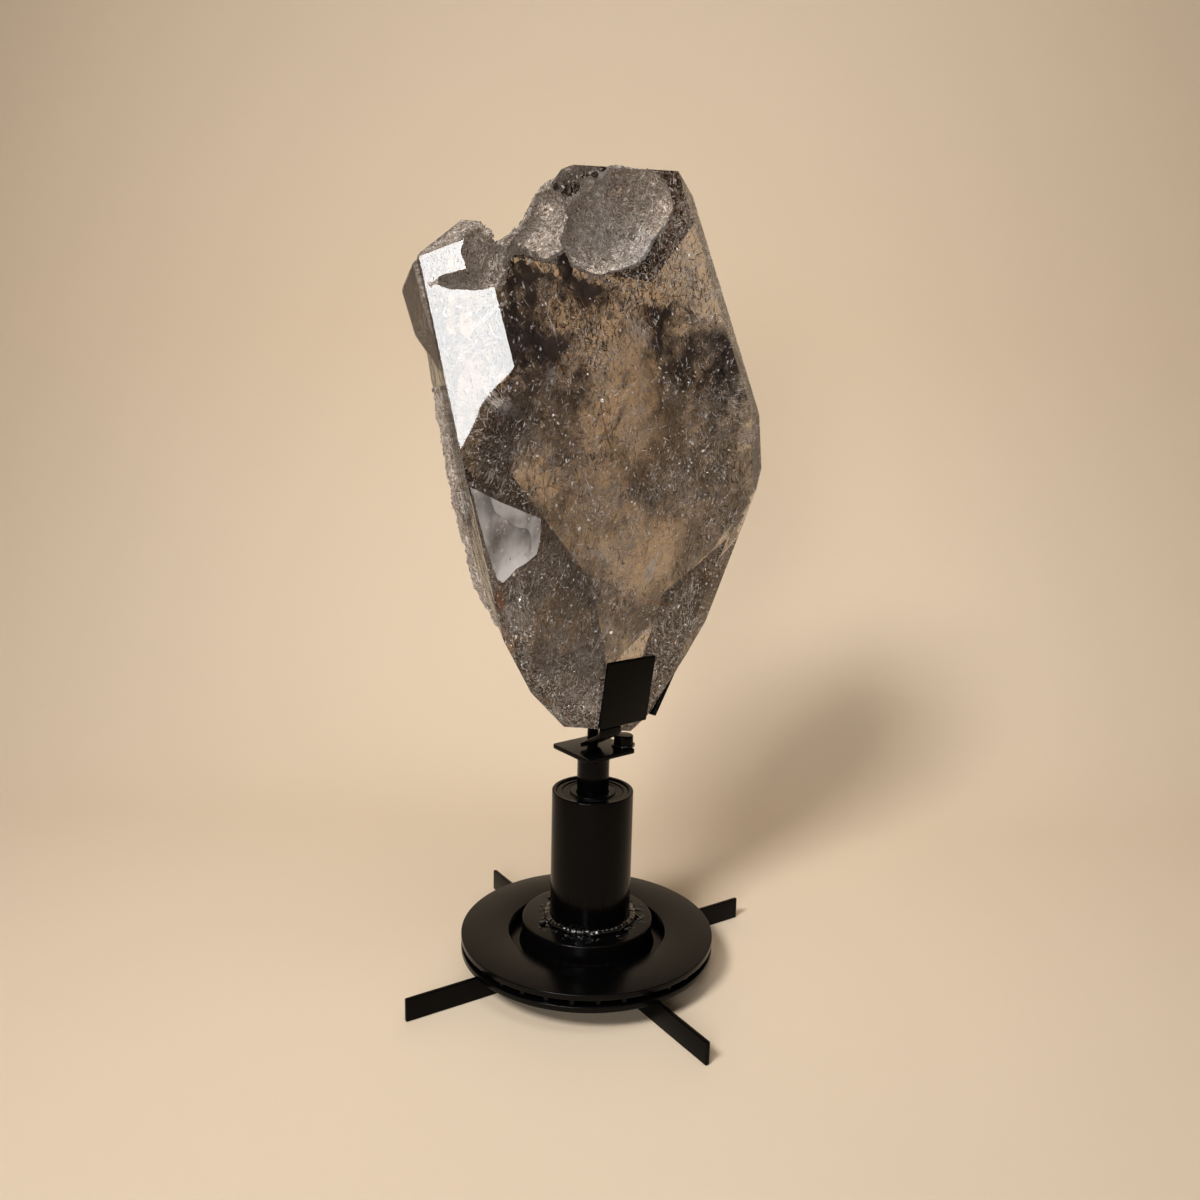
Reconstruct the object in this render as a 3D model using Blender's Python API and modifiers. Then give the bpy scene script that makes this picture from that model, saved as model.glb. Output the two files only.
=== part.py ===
# Rutilated quartz freeform held in a swivelling steel cradle on a vented disc with four foot bars.
import math

import bmesh
import bpy
from mathutils import Euler, Matrix, Vector, noise

# All sizes are metres and all angles are degrees. Z is the swivel axis and Z = 0 is the floor.
OBJECT_NAME = "quartz_freeform_on_stand"
GAP = 0.0003
STEPS = 48

# Foot bars: flat bar standing on edge, radial under the disc.
DISC_X = -0.0028
FOOT_ANGLES = {"foot_right_rear": 33.3, "foot_left_rear": 123.3, "foot_left_front": 213.3, "foot_right_front": 303.3}
FOOT_INNER = 0.078
FOOT_OUTER = 0.219
FOOT_HEIGHT = 0.0254
FOOT_THICKNESS = 0.0048
FOOT_EDGE = 0.0008

# Vented disc with its hat, one casting.
DISC_RADIUS = 0.140
DISC_BOTTOM = FOOT_HEIGHT + GAP
DISC_TOP = 0.0457
RING_THICKNESS = 0.0066
RING_INNER = 0.0875
HAT_RADIUS = 0.0723
HAT_FLARE = 0.0745
HAT_WALL = 0.007
HAT_TOP = 0.0608
HAT_PLATE = 0.0062
HUB_HOLE = 0.030
DISC_EDGE = 0.0008
VANE_COUNT = 32
VANE_WIDTH = 0.0045
VANE_INNER = 0.092
VANE_OUTER = 0.137
VANE_BITE = 0.001
BOLT_RADIUS = 0.0064
BOLT_CIRCLE = 0.0524
BOLT_FIRST = -6.2
BOLT_COUNT = 5
SCREW_RADIUS = 0.0042
SCREW_CIRCLE = 0.055
SCREW_ANGLE = -42.2

# Pipe with the weld round its foot.
PIPE_RADIUS = 0.04445
PIPE_BORE = 0.0400
PIPE_TOP = 0.2095
PIPE_EDGE = 0.0012
WELD_LEG = 0.0062

# Ball bearing let into the pipe's top.
BEARING_TOP = 0.2078
BEARING_WIDTH = 0.021
OUTER_RACE_INNER = 0.0339
INNER_RACE_OUTER = 0.0246
SHIELD_SINK = 0.0009
SHIELD_THICKNESS = 0.0012
RACE_EDGE = 0.0008

# Turning shaft and the square plate on its top.
SHAFT_RADIUS = 0.0175
SHAFT_FLARE = 0.0188
SHAFT_BOTTOM = 0.184
PLATE_SIDE = 0.065
PLATE_THICKNESS = 0.0048
PLATE_TOP = 0.2585
PLATE_CORNER = 0.004
PLATE_HEADING = 38.0

# Cradle: two flat pads on bent arms, a stub and a post under the crystal.
BAR_THICKNESS = 0.0048
PAD_WIDTH = 0.0635
FRONT_PAD_HEIGHT = 0.075
REAR_PAD_HEIGHT = 0.064
FRONT_PAD_ACROSS = 0.0122
FRONT_PAD_LOW = 0.2905
REAR_PAD_ACROSS = -0.0102
REAR_PAD_LOW = 0.2945
ARM_WIDTH = 0.026
FRONT_ARM_ACROSS = -0.004
FRONT_ARM_BEND = 0.2812
FRONT_ARM_END = -0.002
REAR_ARM_ACROSS = -0.006
REAR_ARM_END = 0.0205
STUB_RADIUS = 0.0105
STUB_CENTRE = (0.0322, 0.0052)
STUB_TOP = 0.2708
POST_RADIUS = 0.00635
POST_CENTRE = (-0.001, 0.024)
POST_TOP = 0.2948

# Facets are (heading, tilt, distance) seen from the point CRYSTAL_MIDDLE. A heading of 0 faces -Y and
# 90 faces +X; tilt is the slope of the facet's outward direction above the level.
CRYSTAL_MIDDLE = Vector((0.0, 0.0, 0.55))
FRONT_PAD_FACET = (38.0, -9.5, 0.0723)
REAR_PAD_FACET = (135.0, -34.0, 0.1828)
MAIN_FACETS = {
    "lower_front": FRONT_PAD_FACET,
    "upper_front": (40.3, 12.8, 0.1047),
    "window": (-0.6, 3.5, 0.1805),
    "side_upper": (-74.5, -11.3, 0.1549),
    "side_lower": (-67.9, -16.7, 0.1663),
    "left_back_top": (-92.9, -8.5, 0.1440),
    "left_back_mid": (-94.8, -4.5, 0.1475),
    "left_low": (-91.1, -21.9, 0.1328),
    "left_foot": (-103.7, -26.8, 0.1257),
    "foot": (-105.6, -66.4, 0.2335),
    "rear_seat": (150.0, -52.0, 0.2238),
    "right_upper": (67.3, 18.4, 0.1528),
    "right_mid": (62.8, -2.8, 0.1281),
    "right_lower": (51.5, -13.4, 0.1026),
    "right_back_up": (102.4, 20.0, 0.1822),
    "right_back_mid": (104.0, 13.6, 0.1795),
    "right_back_low": (105.6, -18.7, 0.1702),
    "corner_low": (49.5, -15.2, 0.1052),
    "rear_pad_face": REAR_PAD_FACET,
    "top": (-11.2, 83.4, 0.2970),
    "top_right": (100.0, 45.6, 0.2645),
    "cover": (-84.9, 60.0, 0.2701),
    "arm_top_left": (-91.1, 45.4, 0.2523),
    "arm_front_bevel": (-29.3, 51.9, 0.2930),
    "back": (-142.0, 5.0, 0.1239),
    "back_low": (-148.0, -33.0, 0.1739),
    "back_up": (-145.0, 40.0, 0.2038),
    "back_left": (-105.0, 3.0, 0.1503),
    "back_right": (165.0, 6.0, 0.1495),
}
LOBE_FACETS = {
    "front": (-63.9, -13.1, 0.1669),
    "lower_front": (-63.4, -10.5, 0.1772),
    "left": (-90.0, 9.3, 0.2095),
    "left_low": (-94.6, -17.9, 0.1135),
    "under": (-101.3, -48.3, -0.0023),
    "top_left": (-82.7, 70.5, 0.2480),
    "top": (-92.9, 45.1, 0.2491),
    "back": (-160.0, 14.0, 0.1024),
    "inner": (90.0, 10.0, -0.0867),
    "stop": (2.0, 8.0, 0.1691),
    "bevel": (-2.0, 52.0, 0.2523),
    "back_left": (-125.0, 10.0, 0.1570),
    "right": (91.2, 33.6, 0.0338),
}
SKIN_FACETS = {
    "upper": (-72.3, -8.7, 0.1648),
    "corner": (-67.8, -16.0, 0.1660),
    "left_top": (-93.4, -11.2, 0.1400),
    "left": (-94.6, -5.3, 0.1470),
    "under": (-100.2, -30.9, 0.1460),
    "low": (-95.7, -52.3, 0.1600),
    "top": (-80.0, 80.0, 0.1161),
    "back": (-170.0, 0.0, 0.0405),
    "inner": (90.0, 0.0, -0.0840),
    "stop": (4.0, -4.0, 0.1140),
}
# Saddle between the left arm and the crystal's head, cut right through from front to back.
SADDLE_FACETS = {
    "head_side": (97.8, -26.4, -0.1855),
    "arm_side": (-88.8, -33.6, -0.0342),
    "floor": (104.5, -55.0, -0.2481),
}
HEAD_BEVEL = {"under": (129.8, -43.5, -0.2612), "left": (-88.8, -33.6, -0.0342)}
HEAD_CORNER = {"under": (116.1, -66.9, -0.2912)}
ARM_TOP_CUT = {"under": (-151.1, -82.2, -0.2376), "right": (97.8, -26.4, -0.1855)}
# Rough breaks: centre, half sizes (across, along the slope, deep), heading, tilt, roll, roughness, detail.
BREAKS = {
    "head_hollow": ((0.017, -0.066, 0.800), (0.080, 0.043, 0.042), 40.3, 14.0, 30.0, 0.0045, 4),
    "brown_pocket": ((-0.052, -0.118, 0.786), (0.024, 0.034, 0.040), 40.3, 14.0, -8.0, 0.0040, 3),
    "broken_ledge": ((-0.062, -0.128, 0.788), (0.040, 0.026, 0.046), 30.0, 35.0, -12.0, 0.0040, 3),
    "arm_cavity": ((-0.104, -0.166, 0.750), (0.016, 0.028, 0.030), 10.0, 12.0, 18.0, 0.0030, 3),
    "level_crack": ((-0.118, -0.170, 0.728), (0.026, 0.0085, 0.026), 0.0, 4.0, 0.0, 0.0020, 3),
}
SKIN_ROUGHNESS = 0.0012
SKIN_CUTS = 5

BLACK_STEEL = ((0.012, 0.011, 0.011), 0.28, 1.0)
BEARING_STEEL = ((0.030, 0.029, 0.028), 0.32, 1.0)
QUARTZ = ((0.36, 0.29, 0.23), 0.08, 0.0)


def clear_scene():
    for old in list(bpy.data.objects):
        bpy.data.objects.remove(old, do_unlink=True)


def make_collection(name, hidden=False):
    group = bpy.data.collections.new(name)
    bpy.context.scene.collection.children.link(group)
    group.hide_render = hidden
    return group


def make_material(name, look):
    colour, rough, metal = look
    material = bpy.data.materials.new(name)
    material.use_nodes = True
    shader = material.node_tree.nodes["Principled BSDF"]
    shader.inputs["Base Color"].default_value = (*colour, 1.0)
    shader.inputs["Roughness"].default_value = rough
    shader.inputs["Metallic"].default_value = metal
    return material


def new_object(name, mesh, group):
    obj = bpy.data.objects.new(name, mesh)
    group.objects.link(obj)
    return obj


def plain_mesh(obj):
    # The evaluated shape takes the place of the object's mesh and its modifiers.
    bpy.context.view_layer.update()
    graph = bpy.context.evaluated_depsgraph_get()
    mesh = bpy.data.meshes.new_from_object(obj.evaluated_get(graph), depsgraph=graph)
    shape = bmesh.new()
    shape.from_mesh(mesh)
    bmesh.ops.remove_doubles(shape, verts=shape.verts, dist=0.00001)
    bmesh.ops.recalc_face_normals(shape, faces=shape.faces)
    shape.to_mesh(mesh)
    shape.free()
    obj.modifiers.clear()
    obj.data = mesh
    return obj


def combine(obj, other, operation):
    change = obj.modifiers.new("combine", "BOOLEAN")
    change.operation = operation
    change.solver = "EXACT"
    change.object = other
    plain_mesh(obj)
    bpy.data.objects.remove(other, do_unlink=True)
    return obj


def bevelled(obj, width, segments=1):
    edge = obj.modifiers.new("edge", "BEVEL")
    edge.width = width
    edge.segments = segments
    edge.limit_method = "ANGLE"
    edge.angle_limit = math.radians(50.0)
    return plain_mesh(obj)


def block(name, size, group, middle=(0.0, 0.0, 0.0)):
    shape = bmesh.new()
    bmesh.ops.create_cube(shape, size=1.0)
    bmesh.ops.scale(shape, vec=size, verts=shape.verts)
    bmesh.ops.translate(shape, vec=middle, verts=shape.verts)
    mesh = bpy.data.meshes.new(name)
    shape.to_mesh(mesh)
    shape.free()
    return new_object(name, mesh, group)


def rod(name, radius, low, high, centre, group, sides=24):
    shape = bmesh.new()
    place = Matrix.Translation((centre[0], centre[1], (low + high) / 2.0))
    bmesh.ops.create_cone(shape, cap_ends=True, segments=sides, radius1=radius, radius2=radius,
                          depth=high - low, matrix=place)
    mesh = bpy.data.meshes.new(name)
    shape.to_mesh(mesh)
    shape.free()
    return new_object(name, mesh, group)


def turned(name, profile, group, closed=True):
    # Profile points are (radius, height), running down the outer side from the top.
    last = len(profile)
    edges = [(i, i + 1) for i in range(last - 1)]
    if closed:
        edges.append((last - 1, 0))
    mesh = bpy.data.meshes.new(name)
    mesh.from_pydata([(r, 0.0, z) for r, z in profile], edges, [])
    obj = new_object(name, mesh, group)
    spin = obj.modifiers.new("spin", "SCREW")
    spin.steps = STEPS
    spin.render_steps = STEPS
    spin.use_merge_vertices = True
    spin.merge_threshold = 0.00001
    return plain_mesh(obj)


def ring(name, outer, inner, low, high, edge, group):
    # Both upper rims are chamfered and both lower ones are square.
    profile = [(outer - edge, high), (outer, high - edge), (outer, low), (inner, low), (inner, high - edge),
               (inner + edge, high)]
    return turned(name, profile, group)


def outward(heading, tilt):
    h = math.radians(heading)
    t = math.radians(tilt)
    return Vector((math.sin(h) * math.cos(t), -math.cos(h) * math.cos(t), math.sin(t)))


def across(heading):
    h = math.radians(heading)
    return Vector((math.cos(h), math.sin(h), 0.0))


def faceted(name, facets, group, half=0.6):
    # A block cut down by one flat plane per facet.
    shape = bmesh.new()
    bmesh.ops.create_cube(shape, size=2.0 * half, matrix=Matrix.Translation(CRYSTAL_MIDDLE))
    for heading, tilt, distance in facets.values():
        normal = outward(heading, tilt)
        everything = shape.verts[:] + shape.edges[:] + shape.faces[:]
        cut = bmesh.ops.bisect_plane(shape, geom=everything, dist=0.000001, plane_no=normal,
                                     plane_co=CRYSTAL_MIDDLE + normal * distance, clear_outer=True)
        rim = [part for part in cut["geom_cut"] if isinstance(part, bmesh.types.BMEdge)]
        if rim:
            bmesh.ops.contextual_create(shape, geom=rim)
    bmesh.ops.recalc_face_normals(shape, faces=shape.faces)
    mesh = bpy.data.meshes.new(name)
    shape.to_mesh(mesh)
    shape.free()
    return new_object(name, mesh, group)


def break_cutter(name, row, group):
    centre, half, heading, tilt, roll, rough, detail = row
    shape = bmesh.new()
    bmesh.ops.create_icosphere(shape, subdivisions=detail, radius=1.0)
    turn = Euler((math.radians(-tilt), 0.0, math.radians(heading)), "XYZ").to_matrix().to_4x4()
    turn = turn @ Matrix.Rotation(math.radians(-roll), 4, "Y")
    for vert in shape.verts:
        direction = vert.co.copy()
        size = Vector((direction.x * half[0], direction.y * half[2], direction.z * half[1]))
        point = turn @ size + Vector(centre)
        ripple = noise.fractal(point * 38.0, 1.0, 2.1, 3)
        steps = noise.cell(point * 62.0)
        vert.co = point + (turn @ direction) * rough * (1.1 * ripple + 0.7 * steps)
    mesh = bpy.data.meshes.new(name)
    shape.to_mesh(mesh)
    shape.free()
    return new_object(name, mesh, group)


def roughen(obj, amount, cuts):
    shape = bmesh.new()
    shape.from_mesh(obj.data)
    bmesh.ops.triangulate(shape, faces=shape.faces)
    for _ in range(cuts):
        long_edges = [edge for edge in shape.edges if edge.calc_length() > 0.022]
        bmesh.ops.subdivide_edges(shape, edges=long_edges, cuts=1)
        bmesh.ops.triangulate(shape, faces=shape.faces)
    shape.normal_update()
    for vert in shape.verts:
        vert.co += vert.normal * amount * noise.fractal(vert.co * 45.0, 1.0, 2.0, 3)
    shape.to_mesh(obj.data)
    shape.free()
    return obj


def make_foot(name, angle, group):
    length = FOOT_OUTER - FOOT_INNER
    middle = ((FOOT_OUTER + FOOT_INNER) / 2.0, 0.0, FOOT_HEIGHT / 2.0)
    bar = bevelled(block(name, (length, FOOT_THICKNESS, FOOT_HEIGHT), group, middle), FOOT_EDGE)
    bar.location = (DISC_X, 0.0, 0.0)
    bar.rotation_euler = (0.0, 0.0, math.radians(angle))
    return bar


def make_disc(group, cutters):
    low = DISC_BOTTOM
    lower_top = low + RING_THICKNESS
    upper_low = DISC_TOP - RING_THICKNESS
    edge = DISC_EDGE
    lower = [
        (HAT_RADIUS - edge, HAT_TOP), (HAT_RADIUS, HAT_TOP - edge), (HAT_RADIUS, DISC_TOP - 0.004),
        (HAT_FLARE, lower_top + 0.001), (HAT_FLARE + 0.001, lower_top),
        (DISC_RADIUS - edge, lower_top), (DISC_RADIUS, lower_top - edge), (DISC_RADIUS, low + edge),
        (DISC_RADIUS - edge, low), (HAT_RADIUS - HAT_WALL + edge, low), (HAT_RADIUS - HAT_WALL, low + edge),
        (HAT_RADIUS - HAT_WALL, HAT_TOP - HAT_PLATE), (HUB_HOLE, HAT_TOP - HAT_PLATE), (HUB_HOLE, HAT_TOP),
    ]
    disc = turned("brake_disc", lower, group)
    upper = ring("upper_ring", DISC_RADIUS, RING_INNER, upper_low, DISC_TOP, edge, cutters)
    vane_size = (VANE_OUTER - VANE_INNER, VANE_WIDTH, upper_low - lower_top + 2.0 * VANE_BITE)
    vane_middle = ((VANE_OUTER + VANE_INNER) / 2.0, 0.0, (upper_low + lower_top) / 2.0)
    vanes = block("vane_1", vane_size, cutters, vane_middle)
    shape = bmesh.new()
    for i in range(VANE_COUNT):
        turn = Matrix.Rotation(2.0 * math.pi * (i + 0.5) / VANE_COUNT, 4, "Z")
        one = vanes.data.copy()
        one.transform(turn)
        shape.from_mesh(one)
    shape.to_mesh(vanes.data)
    shape.free()
    combine(upper, vanes, "UNION")
    combine(disc, upper, "UNION")
    holes = [(BOLT_CIRCLE, BOLT_FIRST + 360.0 * i / BOLT_COUNT, BOLT_RADIUS) for i in range(BOLT_COUNT)]
    holes.append((SCREW_CIRCLE, SCREW_ANGLE, SCREW_RADIUS))
    for circle, angle, radius in holes:
        at = (circle * math.cos(math.radians(angle)), circle * math.sin(math.radians(angle)))
        combine(disc, rod("hole", radius, HAT_TOP - 0.02, HAT_TOP + 0.01, at, cutters), "DIFFERENCE")
    disc.location = (DISC_X, 0.0, 0.0)
    return disc


def make_weld_ring(group):
    inner = PIPE_RADIUS + GAP
    low = HAT_TOP + GAP
    leg = WELD_LEG
    profile = [(inner, low + leg), (inner + 0.35 * leg, low + 0.92 * leg), (inner + 0.75 * leg, low + 0.62 * leg),
               (inner + leg, low + 0.2 * leg), (inner + leg, low), (inner, low)]
    return turned("pipe_weld", profile, group)


def make_pipe(group):
    return ring("pipe", PIPE_RADIUS, PIPE_BORE, HAT_TOP + GAP, PIPE_TOP, PIPE_EDGE, group)


def make_bearing(group):
    low = BEARING_TOP - BEARING_WIDTH
    outer = ring("bearing_outer_race", PIPE_BORE - GAP, OUTER_RACE_INNER, low, BEARING_TOP, RACE_EDGE, group)
    shield_top = BEARING_TOP - SHIELD_SINK
    shield = ring("bearing_shield", OUTER_RACE_INNER - GAP, INNER_RACE_OUTER + GAP, shield_top - SHIELD_THICKNESS,
                  shield_top, 0.0002, group)
    inner = ring("bearing_inner_race", INNER_RACE_OUTER, SHAFT_RADIUS + GAP, low, BEARING_TOP, RACE_EDGE, group)
    return [outer, shield], inner


def make_shaft(group):
    top = PLATE_TOP - PLATE_THICKNESS - GAP
    profile = [(0.0, top), (SHAFT_FLARE, top), (SHAFT_FLARE, top - 0.007), (SHAFT_RADIUS, top - 0.011),
               (SHAFT_RADIUS, SHAFT_BOTTOM + 0.001), (SHAFT_RADIUS - 0.001, SHAFT_BOTTOM), (0.0, SHAFT_BOTTOM)]
    return turned("shaft", profile, group, closed=False)


def make_plate(group):
    plate = block("top_plate", (PLATE_SIDE, PLATE_SIDE, PLATE_THICKNESS), group)
    shape = bmesh.new()
    shape.from_mesh(plate.data)
    upright = [e for e in shape.edges if abs((e.verts[0].co - e.verts[1].co).z) > PLATE_THICKNESS / 2.0]
    bmesh.ops.bevel(shape, geom=upright, offset=PLATE_CORNER, segments=4, profile=0.5, affect="EDGES")
    shape.to_mesh(plate.data)
    shape.free()
    bevelled(plate, 0.0006)
    plate.location = (0.0, 0.0, PLATE_TOP - PLATE_THICKNESS / 2.0)
    plate.rotation_euler = (0.0, 0.0, math.radians(PLATE_HEADING))
    return plate


def facet_reach(facet, height):
    # Distance from the axis to the facet, measured level along its heading, at a height.
    heading, tilt, distance = facet
    t = math.radians(tilt)
    return (distance + (CRYSTAL_MIDDLE.z - height) * math.sin(t)) / math.cos(t)


def make_pad(name, facet, low, height, offset, group):
    heading, tilt, distance = facet
    pad = bevelled(block(name, (PAD_WIDTH, BAR_THICKNESS, height), group), 0.0008)
    up_slope = Vector((0.0, 0.0, 1.0)) - outward(heading, tilt) * math.sin(math.radians(tilt))
    up_slope.normalize()
    start = outward(heading, 0.0) * facet_reach(facet, low)
    start.z = low
    middle = start + up_slope * height / 2.0 + outward(heading, tilt) * (BAR_THICKNESS / 2.0 + GAP)
    pad.location = middle + across(heading) * offset
    pad.rotation_euler = (math.radians(-tilt), 0.0, math.radians(heading))
    return pad


def make_arm(name, facet, path, offset, group):
    # Path points are (distance from the axis, height) down the middle of the bar.
    heading = facet[0]
    curve = bpy.data.curves.new(name, "CURVE")
    curve.dimensions = "3D"
    curve.extrude = ARM_WIDTH / 2.0
    line = curve.splines.new("POLY")
    line.points.add(len(path) - 1)
    for point, (reach, height) in zip(line.points, path):
        point.co = (reach, height, 0.0, 1.0)
    ribbon = new_object(name, curve, group)
    bpy.context.view_layer.update()
    graph = bpy.context.evaluated_depsgraph_get()
    mesh = bpy.data.meshes.new_from_object(ribbon.evaluated_get(graph), depsgraph=graph)
    bpy.data.objects.remove(ribbon, do_unlink=True)
    bar = new_object(name, mesh, group)
    bar.name = name
    thick = bar.modifiers.new("thick", "SOLIDIFY")
    thick.thickness = BAR_THICKNESS
    thick.offset = 0.0
    thick.use_even_offset = True
    plain_mesh(bar)
    side = across(heading)
    ahead = outward(heading, 0.0)
    frame = Matrix((
        (ahead.x, 0.0, -side.x, side.x * offset),
        (ahead.y, 0.0, -side.y, side.y * offset),
        (0.0, 1.0, 0.0, 0.0),
        (0.0, 0.0, 0.0, 1.0),
    ))
    bar.data.transform(frame)
    shape = bmesh.new()
    shape.from_mesh(bar.data)
    bmesh.ops.recalc_face_normals(shape, faces=shape.faces)
    shape.to_mesh(bar.data)
    shape.free()
    return bar


def make_cradle(group):
    half = BAR_THICKNESS / 2.0 + GAP
    parts = [
        make_pad("front_pad", FRONT_PAD_FACET, FRONT_PAD_LOW, FRONT_PAD_HEIGHT, FRONT_PAD_ACROSS, group),
        make_pad("rear_pad", REAR_PAD_FACET, REAR_PAD_LOW, REAR_PAD_HEIGHT, REAR_PAD_ACROSS, group),
    ]
    front_out = half / math.cos(math.radians(FRONT_PAD_FACET[1]))
    rear_out = half / math.cos(math.radians(REAR_PAD_FACET[1]))
    top = FRONT_PAD_LOW - GAP - 0.0006
    front_path = [
        (facet_reach(FRONT_PAD_FACET, top) + front_out, top),
        (facet_reach(FRONT_PAD_FACET, FRONT_ARM_BEND) + front_out, FRONT_ARM_BEND),
        (FRONT_ARM_END, PLATE_TOP + BAR_THICKNESS / 2.0 + 0.0016),
    ]
    parts.append(make_arm("front_arm", FRONT_PAD_FACET, front_path, FRONT_ARM_ACROSS, group))
    top = REAR_PAD_LOW - GAP - 0.0030
    rear_path = [
        (facet_reach(REAR_PAD_FACET, top) + rear_out, top),
        (REAR_ARM_END, STUB_TOP + BAR_THICKNESS / 2.0 + 0.0030),
    ]
    parts.append(make_arm("rear_arm", REAR_PAD_FACET, rear_path, REAR_ARM_ACROSS, group))
    low = PLATE_TOP + GAP
    stub = rod("stub", STUB_RADIUS, low, STUB_TOP, STUB_CENTRE, group)
    post = rod("rest_post", POST_RADIUS, low, POST_TOP, POST_CENTRE, group)
    parts += [bevelled(stub, 0.0014), bevelled(post, 0.0006)]
    return parts


def make_crystal(group, cutters):
    crystal = faceted("crystal", MAIN_FACETS, group)
    for facets in (SADDLE_FACETS, HEAD_BEVEL, HEAD_CORNER, ARM_TOP_CUT):
        combine(crystal, faceted("saddle", facets, cutters), "DIFFERENCE")
    combine(crystal, faceted("lobe", LOBE_FACETS, cutters), "UNION")
    combine(crystal, roughen(faceted("skin", SKIN_FACETS, cutters), SKIN_ROUGHNESS, SKIN_CUTS), "UNION")
    for name, row in BREAKS.items():
        combine(crystal, break_cutter(name, row, cutters), "DIFFERENCE")
    return crystal


def paint(objects, look, name):
    for obj in objects:
        obj.data.materials.clear()
        obj.data.materials.append(make_material(name + "_" + obj.name, look))


def main():
    clear_scene()
    pieces = make_collection(OBJECT_NAME)
    cutters = make_collection("cutters", hidden=True)
    steel = [make_foot(name, angle, pieces) for name, angle in FOOT_ANGLES.items()]
    steel += [make_disc(pieces, cutters), make_pipe(pieces), make_weld_ring(pieces)]
    fixed_rings, inner_race = make_bearing(pieces)
    shaft = make_shaft(pieces)
    plate = make_plate(pieces)
    cradle = make_cradle(pieces)
    crystal = make_crystal(pieces, cutters)
    swivel = bpy.data.objects.new("swivel_axis", None)
    pieces.objects.link(swivel)
    for obj in [inner_race, shaft, plate, crystal] + cradle:
        obj.parent = swivel
    paint(steel + [shaft, plate] + cradle, BLACK_STEEL, "black_steel")
    paint(fixed_rings + [inner_race], BEARING_STEEL, "bearing_steel")
    paint([crystal], QUARTZ, "quartz")


main()
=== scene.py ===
# Looks for a rutilated quartz freeform that stands in a black swivelling steel cradle.
import math
import random

import bmesh
import bpy
from mathutils import Matrix, Vector, noise
from mathutils.bvhtree import BVHTree


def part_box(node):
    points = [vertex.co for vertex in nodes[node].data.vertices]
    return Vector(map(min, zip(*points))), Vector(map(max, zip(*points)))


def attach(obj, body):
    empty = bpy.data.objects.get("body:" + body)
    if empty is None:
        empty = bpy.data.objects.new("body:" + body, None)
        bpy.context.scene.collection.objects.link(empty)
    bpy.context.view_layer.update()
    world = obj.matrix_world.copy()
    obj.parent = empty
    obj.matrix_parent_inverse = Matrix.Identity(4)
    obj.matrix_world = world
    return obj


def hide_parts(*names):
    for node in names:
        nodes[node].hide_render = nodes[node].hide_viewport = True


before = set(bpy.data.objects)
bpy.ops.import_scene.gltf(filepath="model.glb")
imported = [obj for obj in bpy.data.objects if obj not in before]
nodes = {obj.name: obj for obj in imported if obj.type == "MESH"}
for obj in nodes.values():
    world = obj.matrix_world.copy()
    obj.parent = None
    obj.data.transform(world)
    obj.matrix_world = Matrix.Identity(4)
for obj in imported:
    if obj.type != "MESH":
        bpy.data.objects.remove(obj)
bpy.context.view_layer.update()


# Shader maths: a Wire is one output of a node, and sums on it add Math nodes.
class Wire:
    def __init__(self, finish, socket):
        self.finish = finish
        self.socket = socket

    def maths(self, operation, *others):
        values = {0: self}
        for place, other in enumerate(others, 1):
            values[place] = other
        return self.finish.node("ShaderNodeMath", {"operation": operation}, values)

    def __add__(self, other):
        return self.maths("ADD", other)

    def __radd__(self, other):
        return self.maths("ADD", other)

    def __mul__(self, other):
        return self.maths("MULTIPLY", other)

    def __rmul__(self, other):
        return self.maths("MULTIPLY", other)

    def __sub__(self, other):
        return self.maths("SUBTRACT", other)

    def __rsub__(self, other):
        return self.finish.node("ShaderNodeMath", {"operation": "SUBTRACT"}, {0: other, 1: self})

    def __truediv__(self, other):
        return self.maths("DIVIDE", other)

    def __pow__(self, other):
        return self.maths("POWER", other)

    def above(self, low, high):
        settings = {"interpolation_type": "SMOOTHSTEP"}
        return self.finish.node("ShaderNodeMapRange", settings, {"Value": self, "From Min": low, "From Max": high})

    def below(self, low, high):
        return 1.0 - self.above(low, high)


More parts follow.
